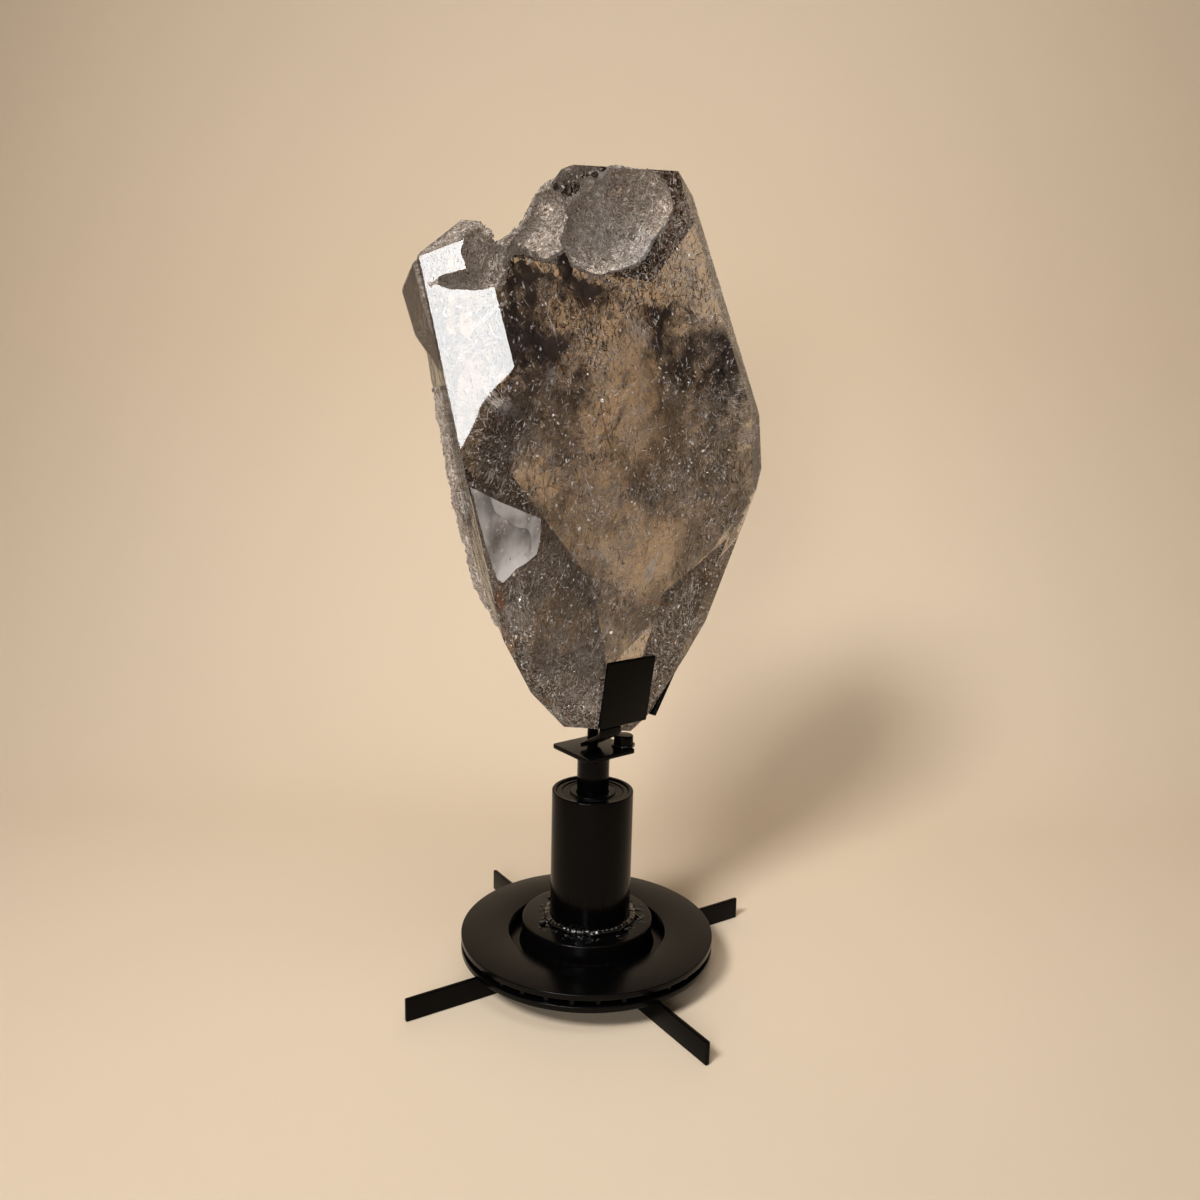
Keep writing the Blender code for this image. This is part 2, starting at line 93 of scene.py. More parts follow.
# A Finish is one material: its nodes, its noises and its shader.
class Finish:
    def __init__(self, name):
        self.material = bpy.data.materials.new(name)
        self.material.use_nodes = True
        self.tree = self.material.node_tree
        self.tree.nodes.clear()
        self.output = self.tree.nodes.new("ShaderNodeOutputMaterial")
        self.place = self.node("ShaderNodeTexCoord", output="Object")

    def node(self, kind, settings=None, sockets=None, output=0):
        made = self.tree.nodes.new(kind)
        for name, value in (settings or {}).items():
            if name == "stops":
                ramp = made.color_ramp
                while len(ramp.elements) < len(value):
                    ramp.elements.new(0.5)
                for element, (position, colour) in zip(ramp.elements, value):
                    element.position = position
                    element.color = (*colour, 1.0)
            else:
                setattr(made, name, value)
        for name, value in (sockets or {}).items():
            if isinstance(value, Wire):
                self.tree.links.new(value.socket, made.inputs[name])
            else:
                made.inputs[name].default_value = value
        return Wire(self, made.outputs[output])

    def mapped(self, scale=(1.0, 1.0, 1.0), turn=(0.0, 0.0, 0.0), shift=(0.0, 0.0, 0.0)):
        values = {"Vector": self.place, "Scale": scale, "Rotation": turn, "Location": shift}
        return self.node("ShaderNodeMapping", None, values)

    def noise(self, scale, detail=3.0, distortion=0.0, where=None, roughness=0.5):
        values = {"Vector": where or self.place, "Scale": scale, "Detail": detail, "Distortion": distortion,
                  "Roughness": roughness}
        return self.node("ShaderNodeTexNoise", {"noise_dimensions": "3D"}, values)

    def mix(self, amount, first, second):
        made = self.tree.nodes.new("ShaderNodeMix")
        made.data_type = "RGBA"
        for place, value in ((0, amount), (6, first), (7, second)):
            if isinstance(value, Wire):
                self.tree.links.new(value.socket, made.inputs[place])
            elif place == 0:
                made.inputs[place].default_value = value
            else:
                made.inputs[place].default_value = (*value, 1.0)
        return Wire(self, made.outputs[2])

    def ramp(self, amount, stops):
        return self.node("ShaderNodeValToRGB", {"stops": stops}, {"Fac": amount})

    def bump(self, height, strength, distance):
        values = {"Height": height, "Strength": strength, "Distance": distance}
        return self.node("ShaderNodeBump", None, values)

    def shader(self, sockets):
        made = self.node("ShaderNodeBsdfPrincipled", None, sockets)
        self.tree.links.new(made.socket, self.output.inputs["Surface"])
        return made


def rgba(colour):
    return (*colour, 1.0)


# Strokes: short scratches or fibres, one in each Voronoi cell, each turned its own way.
def strokes(finish, scale, length, width, seedShift=0.0):
    where = finish.mapped(scale=(scale, scale, scale), shift=(seedShift, seedShift * 0.7, seedShift * 1.3))
    cells = {"Vector": where, "Scale": 1.0, "Randomness": 1.0}
    cell = finish.node("ShaderNodeTexVoronoi", {"feature": "F1"}, cells, "Position")
    colour = finish.node("ShaderNodeTexVoronoi", {"feature": "F1"}, cells, "Color")
    local = finish.node("ShaderNodeVectorMath", {"operation": "SUBTRACT"}, {0: where, 1: cell})
    angles = finish.node("ShaderNodeVectorMath", {"operation": "SCALE"}, {0: colour, "Scale": 6.2832})
    turned = finish.node("ShaderNodeVectorRotate", {"rotation_type": "EULER_XYZ"},
                         {"Vector": local, "Rotation": angles})
    x = finish.node("ShaderNodeSeparateXYZ", None, {"Vector": turned}, "X").maths("ABSOLUTE")
    y = finish.node("ShaderNodeSeparateXYZ", None, {"Vector": turned}, "Y").maths("ABSOLUTE")
    return x.below(width * 0.4, width) * y.below(length * 0.5, length)


print("stage 1: where the photograph was taken from")
# Solved from the stand's known sizes. Places in the picture are in its 1200 by 1200 pixels.
photoView = {"place": (-0.0028, -1.1372, 0.6514), "pitch": 11.48, "yaw": 0.28, "roll": 1.44, "lens": 33.0,
             "sensor": 36.0, "pixels": 1200}


def viewAxes():
    pitch, yaw, roll = (math.radians(photoView[name]) for name in ("pitch", "yaw", "roll"))
    ahead = Vector((math.sin(yaw) * math.cos(pitch), math.cos(yaw) * math.cos(pitch), -math.sin(pitch)))
    right = Vector((math.cos(yaw), -math.sin(yaw), 0.0))
    up = right.cross(ahead)
    return (right * math.cos(roll) + up * math.sin(roll), up * math.cos(roll) - right * math.sin(roll), ahead)


viewRight, viewUp, viewAhead = viewAxes()
viewPlace = Vector(photoView["place"])
focalPixels = photoView["lens"] / photoView["sensor"] * photoView["pixels"]


def inPicture(point):
    # Where a place in the object lies in the picture, without the quartz's bending.
    away = Vector(point) - viewPlace
    reach = away.dot(viewAhead)
    middle = photoView["pixels"] / 2.0
    return (middle + focalPixels * away.dot(viewRight) / reach, middle - focalPixels * away.dot(viewUp) / reach)


def sightLine(x, y):
    middle = photoView["pixels"] / 2.0
    return (viewAhead + viewRight * ((x - middle) / focalPixels) - viewUp * ((y - middle) / focalPixels)).normalized()


print("stage 2: finishes of the stand")
paintLook = {"colour": (0.0014, 0.0012, 0.0012), "dust": (0.010, 0.008, 0.007), "gloss": 0.080, "peelScale": 420.0}


def glossPaint(name, roughness, peel, dustiness, gloss=paintLook["gloss"]):
    finish = Finish(name)
    runs = finish.noise(18.0, 4.0, 0.4)
    specks = finish.noise(900.0, 2.0)
    dusty = runs.above(0.52, 0.75) * specks.above(0.5, 0.8) * dustiness
    colour = finish.mix(dusty, paintLook["colour"], paintLook["dust"])
    peelHeight = finish.noise(paintLook["peelScale"], 2.0) * 0.4 + finish.noise(90.0, 3.0, 0.6) * 0.6
    finish.shader({
        "Base Color": colour,
        "Roughness": runs * 0.14 + specks * 0.05 + (roughness - 0.10),
        "Specular IOR Level": gloss,
        "Normal": finish.bump(peelHeight, peel, 0.0006),
    })
    return finish.material


def discPaint():
    # Sprayed over a lathe-turned face, so faint rings show in the gloss.
    finish = Finish("discPaint")
    runs = finish.noise(14.0, 4.0, 0.3)
    x = finish.node("ShaderNodeSeparateXYZ", None, {"Vector": finish.place}, "X") + 0.0028
    y = finish.node("ShaderNodeSeparateXYZ", None, {"Vector": finish.place}, "Y")
    radius = (x * x + y * y) ** 0.5
    ringPlace = finish.node("ShaderNodeCombineXYZ", None, {"X": radius * 900.0})
    rings = finish.noise(1.0, 3.0, 0.0, ringPlace)
    specks = finish.noise(1100.0, 2.0)
    colour = finish.mix(specks.above(0.55, 0.8) * 0.5, paintLook["colour"], paintLook["dust"])
    finish.shader({
        "Base Color": colour,
        "Roughness": runs * 0.14 + rings * 0.05 + 0.12,
        "Specular IOR Level": 0.12,
        "Normal": finish.bump(rings * 0.35 + finish.noise(160.0, 2.0) * 0.5, 0.10, 0.0005),
    })
    return finish.material


barPaint = glossPaint("barPaint", 0.20, 0.10, 0.25)
tubePaint = glossPaint("tubePaint", 0.14, 0.08, 0.15)
weldPaint = glossPaint("weldPaint", 0.11, 0.30, 0.1, 0.75)
bearingPaint = glossPaint("bearingPaint", 0.26, 0.05, 0.8)
diskFinish = discPaint()


def newPiece(name, mesh, material=None):
    piece = bpy.data.objects.new(name, mesh)
    bpy.context.scene.collection.objects.link(piece)
    if material:
        mesh.materials.clear()
        mesh.materials.append(material)
    return piece


def asMesh(piece):
    # The evaluated shape becomes the piece's own plain mesh.
    bpy.context.view_layer.update()
    graph = bpy.context.evaluated_depsgraph_get()
    mesh = bpy.data.meshes.new_from_object(piece.evaluated_get(graph), depsgraph=graph)
    piece.modifiers.clear()
    piece.data = mesh
    return piece


def smoothed(piece, angle=35.0):
    piece.data.shade_smooth()
    shape = bmesh.new()
    shape.from_mesh(piece.data)
    for edge in shape.edges:
        edge.smooth = len(edge.link_faces) == 2 and edge.calc_face_angle(0.0) < math.radians(angle)
    shape.to_mesh(piece.data)
    shape.free()
    return piece


def settled(piece, body, slot, *replaced):
    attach(piece, body)
    if replaced:
        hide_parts(*replaced)
    return piece


print("stage 2: bars, pads and plate with rounded edges")
barLook = {"edge": 0.0009, "segments": 3}


def roundedBar(nodeName, body, pieceName, edge, paint=barPaint):
    shape = bmesh.new()
    shape.from_mesh(nodes[nodeName].data)
    bmesh.ops.remove_doubles(shape, verts=shape.verts, dist=0.00002)
    bmesh.ops.dissolve_limit(shape, angle_limit=math.radians(0.5), verts=shape.verts, edges=shape.edges)
    mesh = bpy.data.meshes.new(pieceName)
    shape.to_mesh(mesh)
    shape.free()
    piece = newPiece(pieceName, mesh, paint)
    soften = piece.modifiers.new("soften", "BEVEL")
    soften.width = edge
    soften.segments = barLook["segments"]
    soften.limit_method = "ANGLE"
    soften.angle_limit = math.radians(30.0)
    soften.harden_normals = False
    asMesh(piece)
    smoothed(piece, 40.0)
    return settled(piece, body, "black_steel", nodeName)


barRows = [
    ("foot_right_rear", "base", "footBarRightRear", 0.0004), ("foot_left_rear", "base", "footBarLeftRear", 0.0004),
    ("foot_left_front", "base", "footBarLeftFront", 0.0004), ("foot_right_front", "base", "footBarRightFront", 0.0004),
    ("front_pad", "holder", "frontPadPlate", 0.0004), ("rear_pad", "holder", "rearPadPlate", 0.0004),
    ("front_arm", "holder", "frontArmBar", 0.0009), ("rear_arm", "holder", "rearArmBar", 0.0009),
    ("top_plate", "holder", "topPlateSteel", 0.0003),
]
for nodeName, body, pieceName, edge in barRows:
    roundedBar(nodeName, body, pieceName, edge)


print("stage 3: turned pieces")
turnedLook = {"steps": 160}


def turnedPiece(name, outline, centre, paint, closed=True):
    # Outline points are (radius, height), down the outer side from the top.
    last = len(outline)
    edges = [(i, i + 1) for i in range(last - 1)]
    if closed:
        edges.append((last - 1, 0))
    mesh = bpy.data.meshes.new(name)
    mesh.from_pydata([(r, 0.0, z) for r, z in outline], edges, [])
    piece = newPiece(name, mesh, paint)
    spin = piece.modifiers.new("spin", "SCREW")
    spin.steps = turnedLook["steps"]
    spin.render_steps = turnedLook["steps"]
    spin.use_merge_vertices = True
    spin.merge_threshold = 0.00001
    asMesh(piece)
    shape = bmesh.new()
    shape.from_mesh(piece.data)
    bmesh.ops.remove_doubles(shape, verts=shape.verts, dist=0.000005)
    bmesh.ops.recalc_face_normals(shape, faces=shape.faces)
    bmesh.ops.translate(shape, vec=(centre[0], centre[1], 0.0), verts=shape.verts)
    shape.to_mesh(piece.data)
    shape.free()
    piece.data.materials.clear()
    piece.data.materials.append(paint)
    return smoothed(piece)


def roundCorner(radius, height, size, start, finish, count=4):
    # Points of a small arc about (radius, height), from one angle to another.
    points = []
    for step in range(count + 1):
        angle = math.radians(start + (finish - start) * step / count)
        points.append((radius + size * math.cos(angle), height + size * math.sin(angle)))
    return points


pipeLow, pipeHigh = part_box("pipe")
pipeLook = {"radius": (pipeHigh.x - pipeLow.x) / 2.0, "bore": 0.0400, "rim": 0.0012}
outline = roundCorner(pipeLook["radius"] - 0.0012, pipeHigh.z - 0.0012, 0.0012, 90.0, 0.0)
outline += [(pipeLook["radius"], pipeLow.z), (pipeLook["bore"], pipeLow.z)]
outline += roundCorner(pipeLook["bore"] + 0.0010, pipeHigh.z - 0.0010, 0.0010, 180.0, 90.0)
pipeTube = turnedPiece("pipeTube", outline, (0.0, 0.0), tubePaint)
settled(pipeTube, "base", "black_steel", "pipe")

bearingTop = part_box("bearing_outer_race")[1].z
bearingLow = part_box("bearing_outer_race")[0].z
bearingLook = {"outer": 0.0397, "outerInner": 0.0339, "shieldInner": 0.0252, "innerOuter": 0.0246, "bore": 0.0178,
               "groove": 0.0008}
b = bearingLook
outline = roundCorner(b["outer"] - 0.0008, bearingTop - 0.0008, 0.0008, 90.0, 0.0)
outline += [(b["outer"], bearingLow), (b["outerInner"], bearingLow)]
outline += roundCorner(b["outerInner"] + 0.0006, bearingTop - 0.0006, 0.0006, 180.0, 90.0)
outerRing = turnedPiece("bearingOuterRing", outline, (0.0, 0.0), bearingPaint)
settled(outerRing, "base", "bearing_steel", "bearing_outer_race")
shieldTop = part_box("bearing_shield")[1].z
outline = [(0.0336, shieldTop - 0.0002), (0.0336, shieldTop - 0.0012), (0.0249, shieldTop - 0.0012),
           (0.0249, shieldTop - 0.0006), (0.0262, shieldTop - 0.0001), (0.0274, shieldTop - 0.0001),
           (0.0279, shieldTop - 0.0006), (0.0296, shieldTop - 0.0006), (0.0302, shieldTop),
           (0.0322, shieldTop), (0.0328, shieldTop - 0.0005), (0.0333, shieldTop - 0.0005)]
shieldRing = turnedPiece("bearingShieldRing", outline, (0.0, 0.0), bearingPaint)
settled(shieldRing, "base", "bearing_steel", "bearing_shield")
outline = roundCorner(b["innerOuter"] - 0.0008, bearingTop - 0.0008, 0.0008, 90.0, 0.0)
outline += [(b["innerOuter"], bearingLow), (b["bore"], bearingLow)]
outline += roundCorner(b["bore"] + 0.0006, bearingTop - 0.0006, 0.0006, 180.0, 90.0)
innerRing = turnedPiece("bearingInnerRing", outline, (0.0, 0.0), bearingPaint)
settled(innerRing, "holder", "bearing_steel", "bearing_inner_race")

shaftLow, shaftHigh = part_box("shaft")
shaftLook = {"radius": 0.0175, "collar": 0.0188}
s = shaftLook
outline = [(0.0, shaftHigh.z), (s["collar"] - 0.0006, shaftHigh.z)]
outline += roundCorner(s["collar"] - 0.0006, shaftHigh.z - 0.0006, 0.0006, 60.0, 0.0, 2)
outline += [(s["collar"], shaftHigh.z - 0.0066), (s["collar"] - 0.0005, shaftHigh.z - 0.0078),
            (s["radius"], shaftHigh.z - 0.0106), (s["radius"], shaftLow.z + 0.001),
            (s["radius"] - 0.001, shaftLow.z), (0.0, shaftLow.z)]
turningShaft = turnedPiece("turningShaft", outline, (0.0, 0.0), tubePaint, closed=False)
settled(turningShaft, "holder", "black_steel", "shaft")

for nodeName, pieceName, edge in (("stub", "stubBlock", 0.0014), ("rest_post", "restPost", 0.0006)):
    low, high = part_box(nodeName)
    radius = (high.x - low.x) / 2.0
    outline = [(0.0, high.z)] + roundCorner(radius - edge, high.z - edge, edge, 90.0, 0.0)
    outline += [(radius, low.z), (0.0, low.z)]
    middle = ((low.x + high.x) / 2.0, (low.y + high.y) / 2.0)
    piece = turnedPiece(pieceName, outline, middle, tubePaint, closed=False)
    settled(piece, "holder", "black_steel", nodeName)


print("stage 4: vented disc")
discLow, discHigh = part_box("brake_disc")
discMiddle = ((discLow.x + discHigh.x) / 2.0, (discLow.y + discHigh.y) / 2.0)
discLook = {"radius": (discHigh.x - discLow.x) / 2.0, "ring": 0.0066, "top": 0.0457, "inner": 0.0875, "hat": 0.0723,
            "flare": 0.0745, "wall": 0.007, "plate": 0.0062, "hub": 0.030, "edge": 0.0009,
            "vanes": 32, "vaneWidth": 0.0045, "vaneInner": 0.092, "vaneOuter": 0.1365}


def discCasting():
    d = discLook
    low, hatTop, edge = discLow.z, discHigh.z, d["edge"]
    lowerTop = low + d["ring"]
    outline = roundCorner(d["hat"] - 0.0016, hatTop - 0.0016, 0.0016, 90.0, 0.0)
    outline += [(d["hat"], d["top"] - 0.004), (d["flare"], lowerTop + 0.001), (d["flare"] + 0.001, lowerTop)]
    outline += roundCorner(d["radius"] - edge, lowerTop - edge, edge, 90.0, 0.0, 3)
    outline += roundCorner(d["radius"] - edge, low + edge, edge, 0.0, -90.0, 3)
    inside = d["hat"] - d["wall"]
    outline += [(inside + edge, low), (inside, low + edge), (inside, hatTop - d["plate"]),
                (d["hub"], hatTop - d["plate"]), (d["hub"], hatTop)]
    casting = turnedPiece("discCasting", outline, discMiddle, diskFinish)
    upperLow = d["top"] - d["ring"]
    outline = roundCorner(d["radius"] - edge, d["top"] - edge, edge, 90.0, 0.0, 3)
    outline += roundCorner(d["radius"] - edge, upperLow + edge, edge, 0.0, -90.0, 3)
    outline += [(d["inner"] + 0.0006, upperLow), (d["inner"], upperLow + 0.0006)]
    outline += roundCorner(d["inner"] + edge, d["top"] - edge, edge, 180.0, 90.0, 3)
    upper = turnedPiece("discUpperRing", outline, discMiddle, diskFinish)
    # The five bolt holes and the small screw hole, where the CAD disc has them.
    holes = [(0.0524, -6.2 + 72.0 * i, 0.0064) for i in range(5)] + [(0.055, -42.2, 0.0042)]
    drills = bmesh.new()
    for circle, angle, radius in holes:
        turn = math.radians(angle)
        at = (discMiddle[0] + circle * math.cos(turn), discMiddle[1] + circle * math.sin(turn), hatTop)
        bmesh.ops.create_cone(drills, cap_ends=True, segments=40, radius1=radius, radius2=radius, depth=0.03,
                              matrix=Matrix.Translation(at))
    mesh = bpy.data.meshes.new("drills")
    drills.to_mesh(mesh)
    drills.free()
    cutter = newPiece("drills", mesh)
    bore = casting.modifiers.new("bore", "BOOLEAN")
    bore.operation = "DIFFERENCE"
    bore.solver = "EXACT"
    bore.object = cutter
    asMesh(casting)
    bpy.data.objects.remove(cutter)
    smoothed(casting)
    return casting, upper, upperLow, lowerTop


# Geometry Nodes tree builder with the same kind of short calls as the shaders have.
class Tree:
    def __init__(self, name, inputs):
        self.group = bpy.data.node_groups.new(name, "GeometryNodeTree")
        self.group.interface.new_socket("Geometry", in_out="INPUT", socket_type="NodeSocketGeometry")
        self.keys = {}
        for label, kind in inputs:
            socket = self.group.interface.new_socket(label, in_out="INPUT", socket_type=kind)
            self.keys[label] = socket.identifier
        self.group.interface.new_socket("Geometry", in_out="OUTPUT", socket_type="NodeSocketGeometry")
        self.start = self.group.nodes.new("NodeGroupInput")
        self.end = self.group.nodes.new("NodeGroupOutput")

    def given(self, label):
        return self.start.outputs[label]

    def node(self, kind, settings=None, sockets=None):
        made = self.group.nodes.new(kind)
        for name, value in (settings or {}).items():
            setattr(made, name, value)
        for name, value in (sockets or {}).items():
            if isinstance(value, bpy.types.NodeSocket):
                self.group.links.new(value, made.inputs[name])
            else:
                made.inputs[name].default_value = value
        return made

    def maths(self, operation, first, second=0.0):
        return self.node("ShaderNodeMath", {"operation": operation}, {0: first, 1: second}).outputs[0]

    def vector(self, operation, first, second=None, scale=None):
        sockets = {0: first}
        if second is not None:
            sockets[1] = second
        if scale is not None:
            sockets["Scale"] = scale
        made = self.node("ShaderNodeVectorMath", {"operation": operation}, sockets)
        return made.outputs["Value"] if operation in ("DOT_PRODUCT", "LENGTH") else made.outputs["Vector"]

    def chance(self, kind, low, high, seed):
        made = self.node("FunctionNodeRandomValue", {"data_type": kind})
        offset = 0 if kind == "FLOAT_VECTOR" else 2
        made.inputs[offset].default_value = low
        made.inputs[offset + 1].default_value = high
        made.inputs["Seed"].default_value = seed
        return made.outputs[0 if kind == "FLOAT_VECTOR" else 1]

    def close(self, geometry, material):
        real = self.node("GeometryNodeRealizeInstances", None, {"Geometry": geometry}).outputs[0]
        done = self.node("GeometryNodeSetMaterial", None, {"Geometry": real, "Material": material}).outputs[0]
        self.group.links.new(done, self.end.inputs[0])

    def grow(self, name, source, values):
        # Runs the tree on a copy of the source mesh and keeps what it makes.
        piece = newPiece(name, source.copy())
        modifier = piece.modifiers.new("grow", "NODES")
        modifier.node_group = self.group
        for label, value in values.items():
            modifier[self.keys[label]] = value
        return asMesh(piece)


def vaneTree():
    tree = Tree("vanes round a disc", [("Count", "NodeSocketInt"), ("Inner", "NodeSocketFloat"),
                                       ("Outer", "NodeSocketFloat"), ("Width", "NodeSocketFloat"),
                                       ("Low", "NodeSocketFloat"), ("High", "NodeSocketFloat")])
    count, inner, outer = tree.given("Count"), tree.given("Inner"), tree.given("Outer")
    low, high = tree.given("Low"), tree.given("High")
    points = tree.node("GeometryNodePoints", None, {"Count": count}).outputs[0]
    index = tree.node("GeometryNodeInputIndex").outputs[0]
    half = tree.maths("ADD", index, 0.5)
    turn = tree.maths("DIVIDE", tree.maths("MULTIPLY", half, 2.0 * math.pi), count)
    reach = tree.maths("MULTIPLY", tree.maths("ADD", inner, outer), 0.5)
    x = tree.maths("MULTIPLY", tree.maths("COSINE", turn), reach)
    y = tree.maths("MULTIPLY", tree.maths("SINE", turn), reach)
    z = tree.maths("MULTIPLY", tree.maths("ADD", low, high), 0.5)
    place = tree.node("ShaderNodeCombineXYZ", None, {"X": x, "Y": y, "Z": z}).outputs[0]
    placed = tree.node("GeometryNodeSetPosition", None, {"Geometry": points, "Position": place}).outputs[0]
    size = tree.node("ShaderNodeCombineXYZ", None, {
        "X": tree.maths("SUBTRACT", outer, inner), "Y": tree.given("Width"), "Z": tree.maths("SUBTRACT", high, low),
    }).outputs[0]
    vane = tree.node("GeometryNodeMeshCube", None, {"Size": size}).outputs["Mesh"]
    angle = tree.node("ShaderNodeCombineXYZ", None, {"Z": turn}).outputs[0]
    ring = tree.node("GeometryNodeInstanceOnPoints", None, {"Points": placed, "Instance": vane, "Rotation": angle})
    tree.close(ring.outputs[0], diskFinish)
    return tree


def emptyMesh():
    return bpy.data.meshes.new("seedling")


casting, upperRing, upperLow, lowerTop = discCasting()
settled(casting, "base", "black_cast_iron", "brake_disc")
settled(upperRing, "base", "black_cast_iron", "brake_disc")
discVanes = vaneTree().grow("discVanes", emptyMesh(), {
    "Count": discLook["vanes"], "Inner": discLook["vaneInner"], "Outer": discLook["vaneOuter"],
    "Width": discLook["vaneWidth"], "Low": lowerTop - 0.0004, "High": upperLow + 0.0004,
})
discVanes.data.transform(Matrix.Translation((discMiddle[0], discMiddle[1], 0.0)))
settled(discVanes, "base", "black_cast_iron", "brake_disc")


print("stage 5: weld beads")
weldLook = {"ripples": 58, "size": 0.0052, "lump": 0.0013}


def tubeShape(path, widths, around, rough=0.0, seed=0.0, flat=1.0, closed=False, ripple=0.0):
    # A closed skin round a path, as wide as asked at each point, with lumps.
    shape = bmesh.new()
    rings = []
    count = len(path)
    side = Vector((1.0, 0.0, 0.0))
    for i, point in enumerate(path):
        before = path[(i - 1) % count] if closed or i > 0 else path[0]
        after = path[(i + 1) % count] if closed or i < count - 1 else path[-1]
        along = (Vector(after) - Vector(before)).normalized()
        level = along.cross(Vector((0.0, 0.0, 1.0)))
        if level.length > 0.15:
            side = level.normalized()
        side = (side - along * side.dot(along)).normalized()
        up = side.cross(along).normalized()
        ring = []
        for k in range(around):
            angle = 2.0 * math.pi * k / around
            offset = side * math.cos(angle) + up * math.sin(angle) * flat
            spot = Vector(point) + offset * widths[i]
            lump = 1.0 + rough * noise.noise(spot * (0.9 / max(widths[i], 0.0005)) + Vector((seed, 0.0, 0.0)))
            lump -= ripple * abs(math.sin(i * math.pi / 4.0))
            ring.append(shape.verts.new(Vector(point) + offset * widths[i] * lump))
        rings.append(ring)
    for i in range(count if closed else count - 1):
        for k in range(around):
            near, far = rings[i], rings[(i + 1) % count]
            shape.faces.new((near[k], near[(k + 1) % around], far[(k + 1) % around], far[k]))
    if not closed:
        shape.faces.new(rings[0][::-1])
        shape.faces.new(rings[-1])
    bmesh.ops.recalc_face_normals(shape, faces=shape.faces)
    return shape


def weldBead(name, path, size, seed, body, closed=False, replaced=(), squash=1.0):
    # A chain of overlapping ripples along a path, like a hand-laid bead.
    count = len(path)
    widths = [size * (1.0 if closed else min(1.0, (min(i, count - 1 - i) + 0.5) / 4.0)) for i in range(count)]
    shape = tubeShape(path, widths, 10, 0.35, seed, squash, closed, 0.16)
    mesh = bpy.data.meshes.new(name)
    shape.to_mesh(mesh)
    shape.free()
    piece = newPiece(name, mesh, weldPaint)
    rounding = piece.modifiers.new("rounding", "SUBSURF")
    rounding.levels = 1
    rounding.render_levels = 1
    asMesh(piece)
    piece.data.shade_smooth()
    return settled(piece, body, "black_steel", *replaced)


def ringPath(radius, height, count, wobble, seed, centre=(0.0, 0.0)):
    points = []
    for i in range(count):
        angle = 2.0 * math.pi * i / count
        drift = noise.noise(Vector((math.cos(angle) * 3.0 + seed, math.sin(angle) * 3.0, 0.3))) * wobble
        points.append((centre[0] + (radius + drift) * math.cos(angle),
                       centre[1] + (radius + drift) * math.sin(angle), height))
    return points


def linePath(start, end, count=14):
    start, end = Vector(start), Vector(end)
    return [tuple(start.lerp(end, i / (count - 1))) for i in range(count)]


weldLow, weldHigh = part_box("pipe_weld")
weldBead("pipeWeldBead", ringPath(0.0466, weldLow.z + 0.0024, 220, 0.0014, 4.0), 0.0052, 1.0, "base", True,
         ("pipe_weld",), 0.9)


def spatter(name, count, inner, outer, height, seed, body):
    # Drops of weld metal that landed on the hat round the pipe.
    rng = random.Random(seed)
    shape = bmesh.new()
    for _ in range(count):
        angle = rng.uniform(0.0, 2.0 * math.pi)
        radius = inner + (outer - inner) * rng.random() ** 2.0
        size = rng.uniform(0.0006, 0.0030) * (1.0 - 0.5 * (radius - inner) / (outer - inner))
        squash = Matrix.Diagonal((size * rng.uniform(1.0, 1.7), size * rng.uniform(0.8, 1.4), size * 0.55, 1.0))
        place = Matrix.Translation((radius * math.cos(angle), radius * math.sin(angle), height))
        turn = Matrix.Rotation(angle + rng.uniform(-0.5, 0.5), 4, "Z")
        bmesh.ops.create_icosphere(shape, subdivisions=2, radius=1.0, matrix=place @ turn @ squash)
    mesh = bpy.data.meshes.new(name)
    shape.to_mesh(mesh)
    shape.free()
    mesh.shade_smooth()
    return settled(newPiece(name, mesh, weldPaint), body, "black_steel")


spatter("weldSpatter", 130, 0.0495, 0.0660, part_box("brake_disc")[1].z + 0.0001, 12, "base")
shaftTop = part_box("shaft")[1].z
weldBead("plateWeldBead", ringPath(0.0200, shaftTop - 0.0014, 72, 0.0008, 9.0), 0.0021, 3.0, "holder", True)
stubLow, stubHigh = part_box("stub")
stubMiddle = ((stubLow.x + stubHigh.x) / 2.0, (stubLow.y + stubHigh.y) / 2.0)
weldBead("stubWeldBead", ringPath((stubHigh.x - stubLow.x) / 2.0 + 0.0008, stubLow.z + 0.0010, 56, 0.0006, 2.0,
                                  stubMiddle), 0.0017, 5.0, "holder", True)
footNames = ("foot_right_rear", "foot_left_rear", "foot_left_front", "foot_right_front")
for number, nodeName in enumerate(footNames):
    low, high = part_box(nodeName)
    middle = (low + high) / 2.0
    angle = math.atan2(middle.y, middle.x)
    for side in (-1.0, 1.0):
        start, finish = 0.112, 0.136
        offset = 0.0034 * side
        points = [(r * math.cos(angle) - offset * math.sin(angle), r * math.sin(angle) + offset * math.cos(angle),
                   high.z - 0.0006) for r in (start, finish)]
        label = "footWeld" + str(number) + ("Left" if side > 0.0 else "Right")
        weldBead(label, linePath(*points, 18), 0.0022, number * 3.1 + side, "base")


print("stage 6: quartz finishes")
quartzLook = {
    "ior": 1.544,
    "smoke": (0.60, 0.46, 0.29),        # colour left by the smoky stone
    "density": 7.5,
}
bent = 1.0 / quartzLook["ior"]


def surfaceTree(mesh):
    return BVHTree.FromPolygons([vert.co for vert in mesh.vertices], [tuple(face.vertices) for face in mesh.polygons])


cadSkin = surfaceTree(nodes["crystal"].data)


def seenAt(x, y, depth, skin=cadSkin):
    # The place that shows at a spot of the picture, a depth behind the quartz's surface.
    line = sightLine(x, y)
    hit, normal, _, _ = skin.ray_cast(viewPlace, line)
    if hit is None:
        return None
    if normal.dot(line) > 0.0:
        normal = -normal
    facing = -normal.dot(line)
    into = line * bent + normal * (bent * facing - math.sqrt(1.0 - bent * bent * (1.0 - facing * facing)))
    return hit + into.normalized() * depth


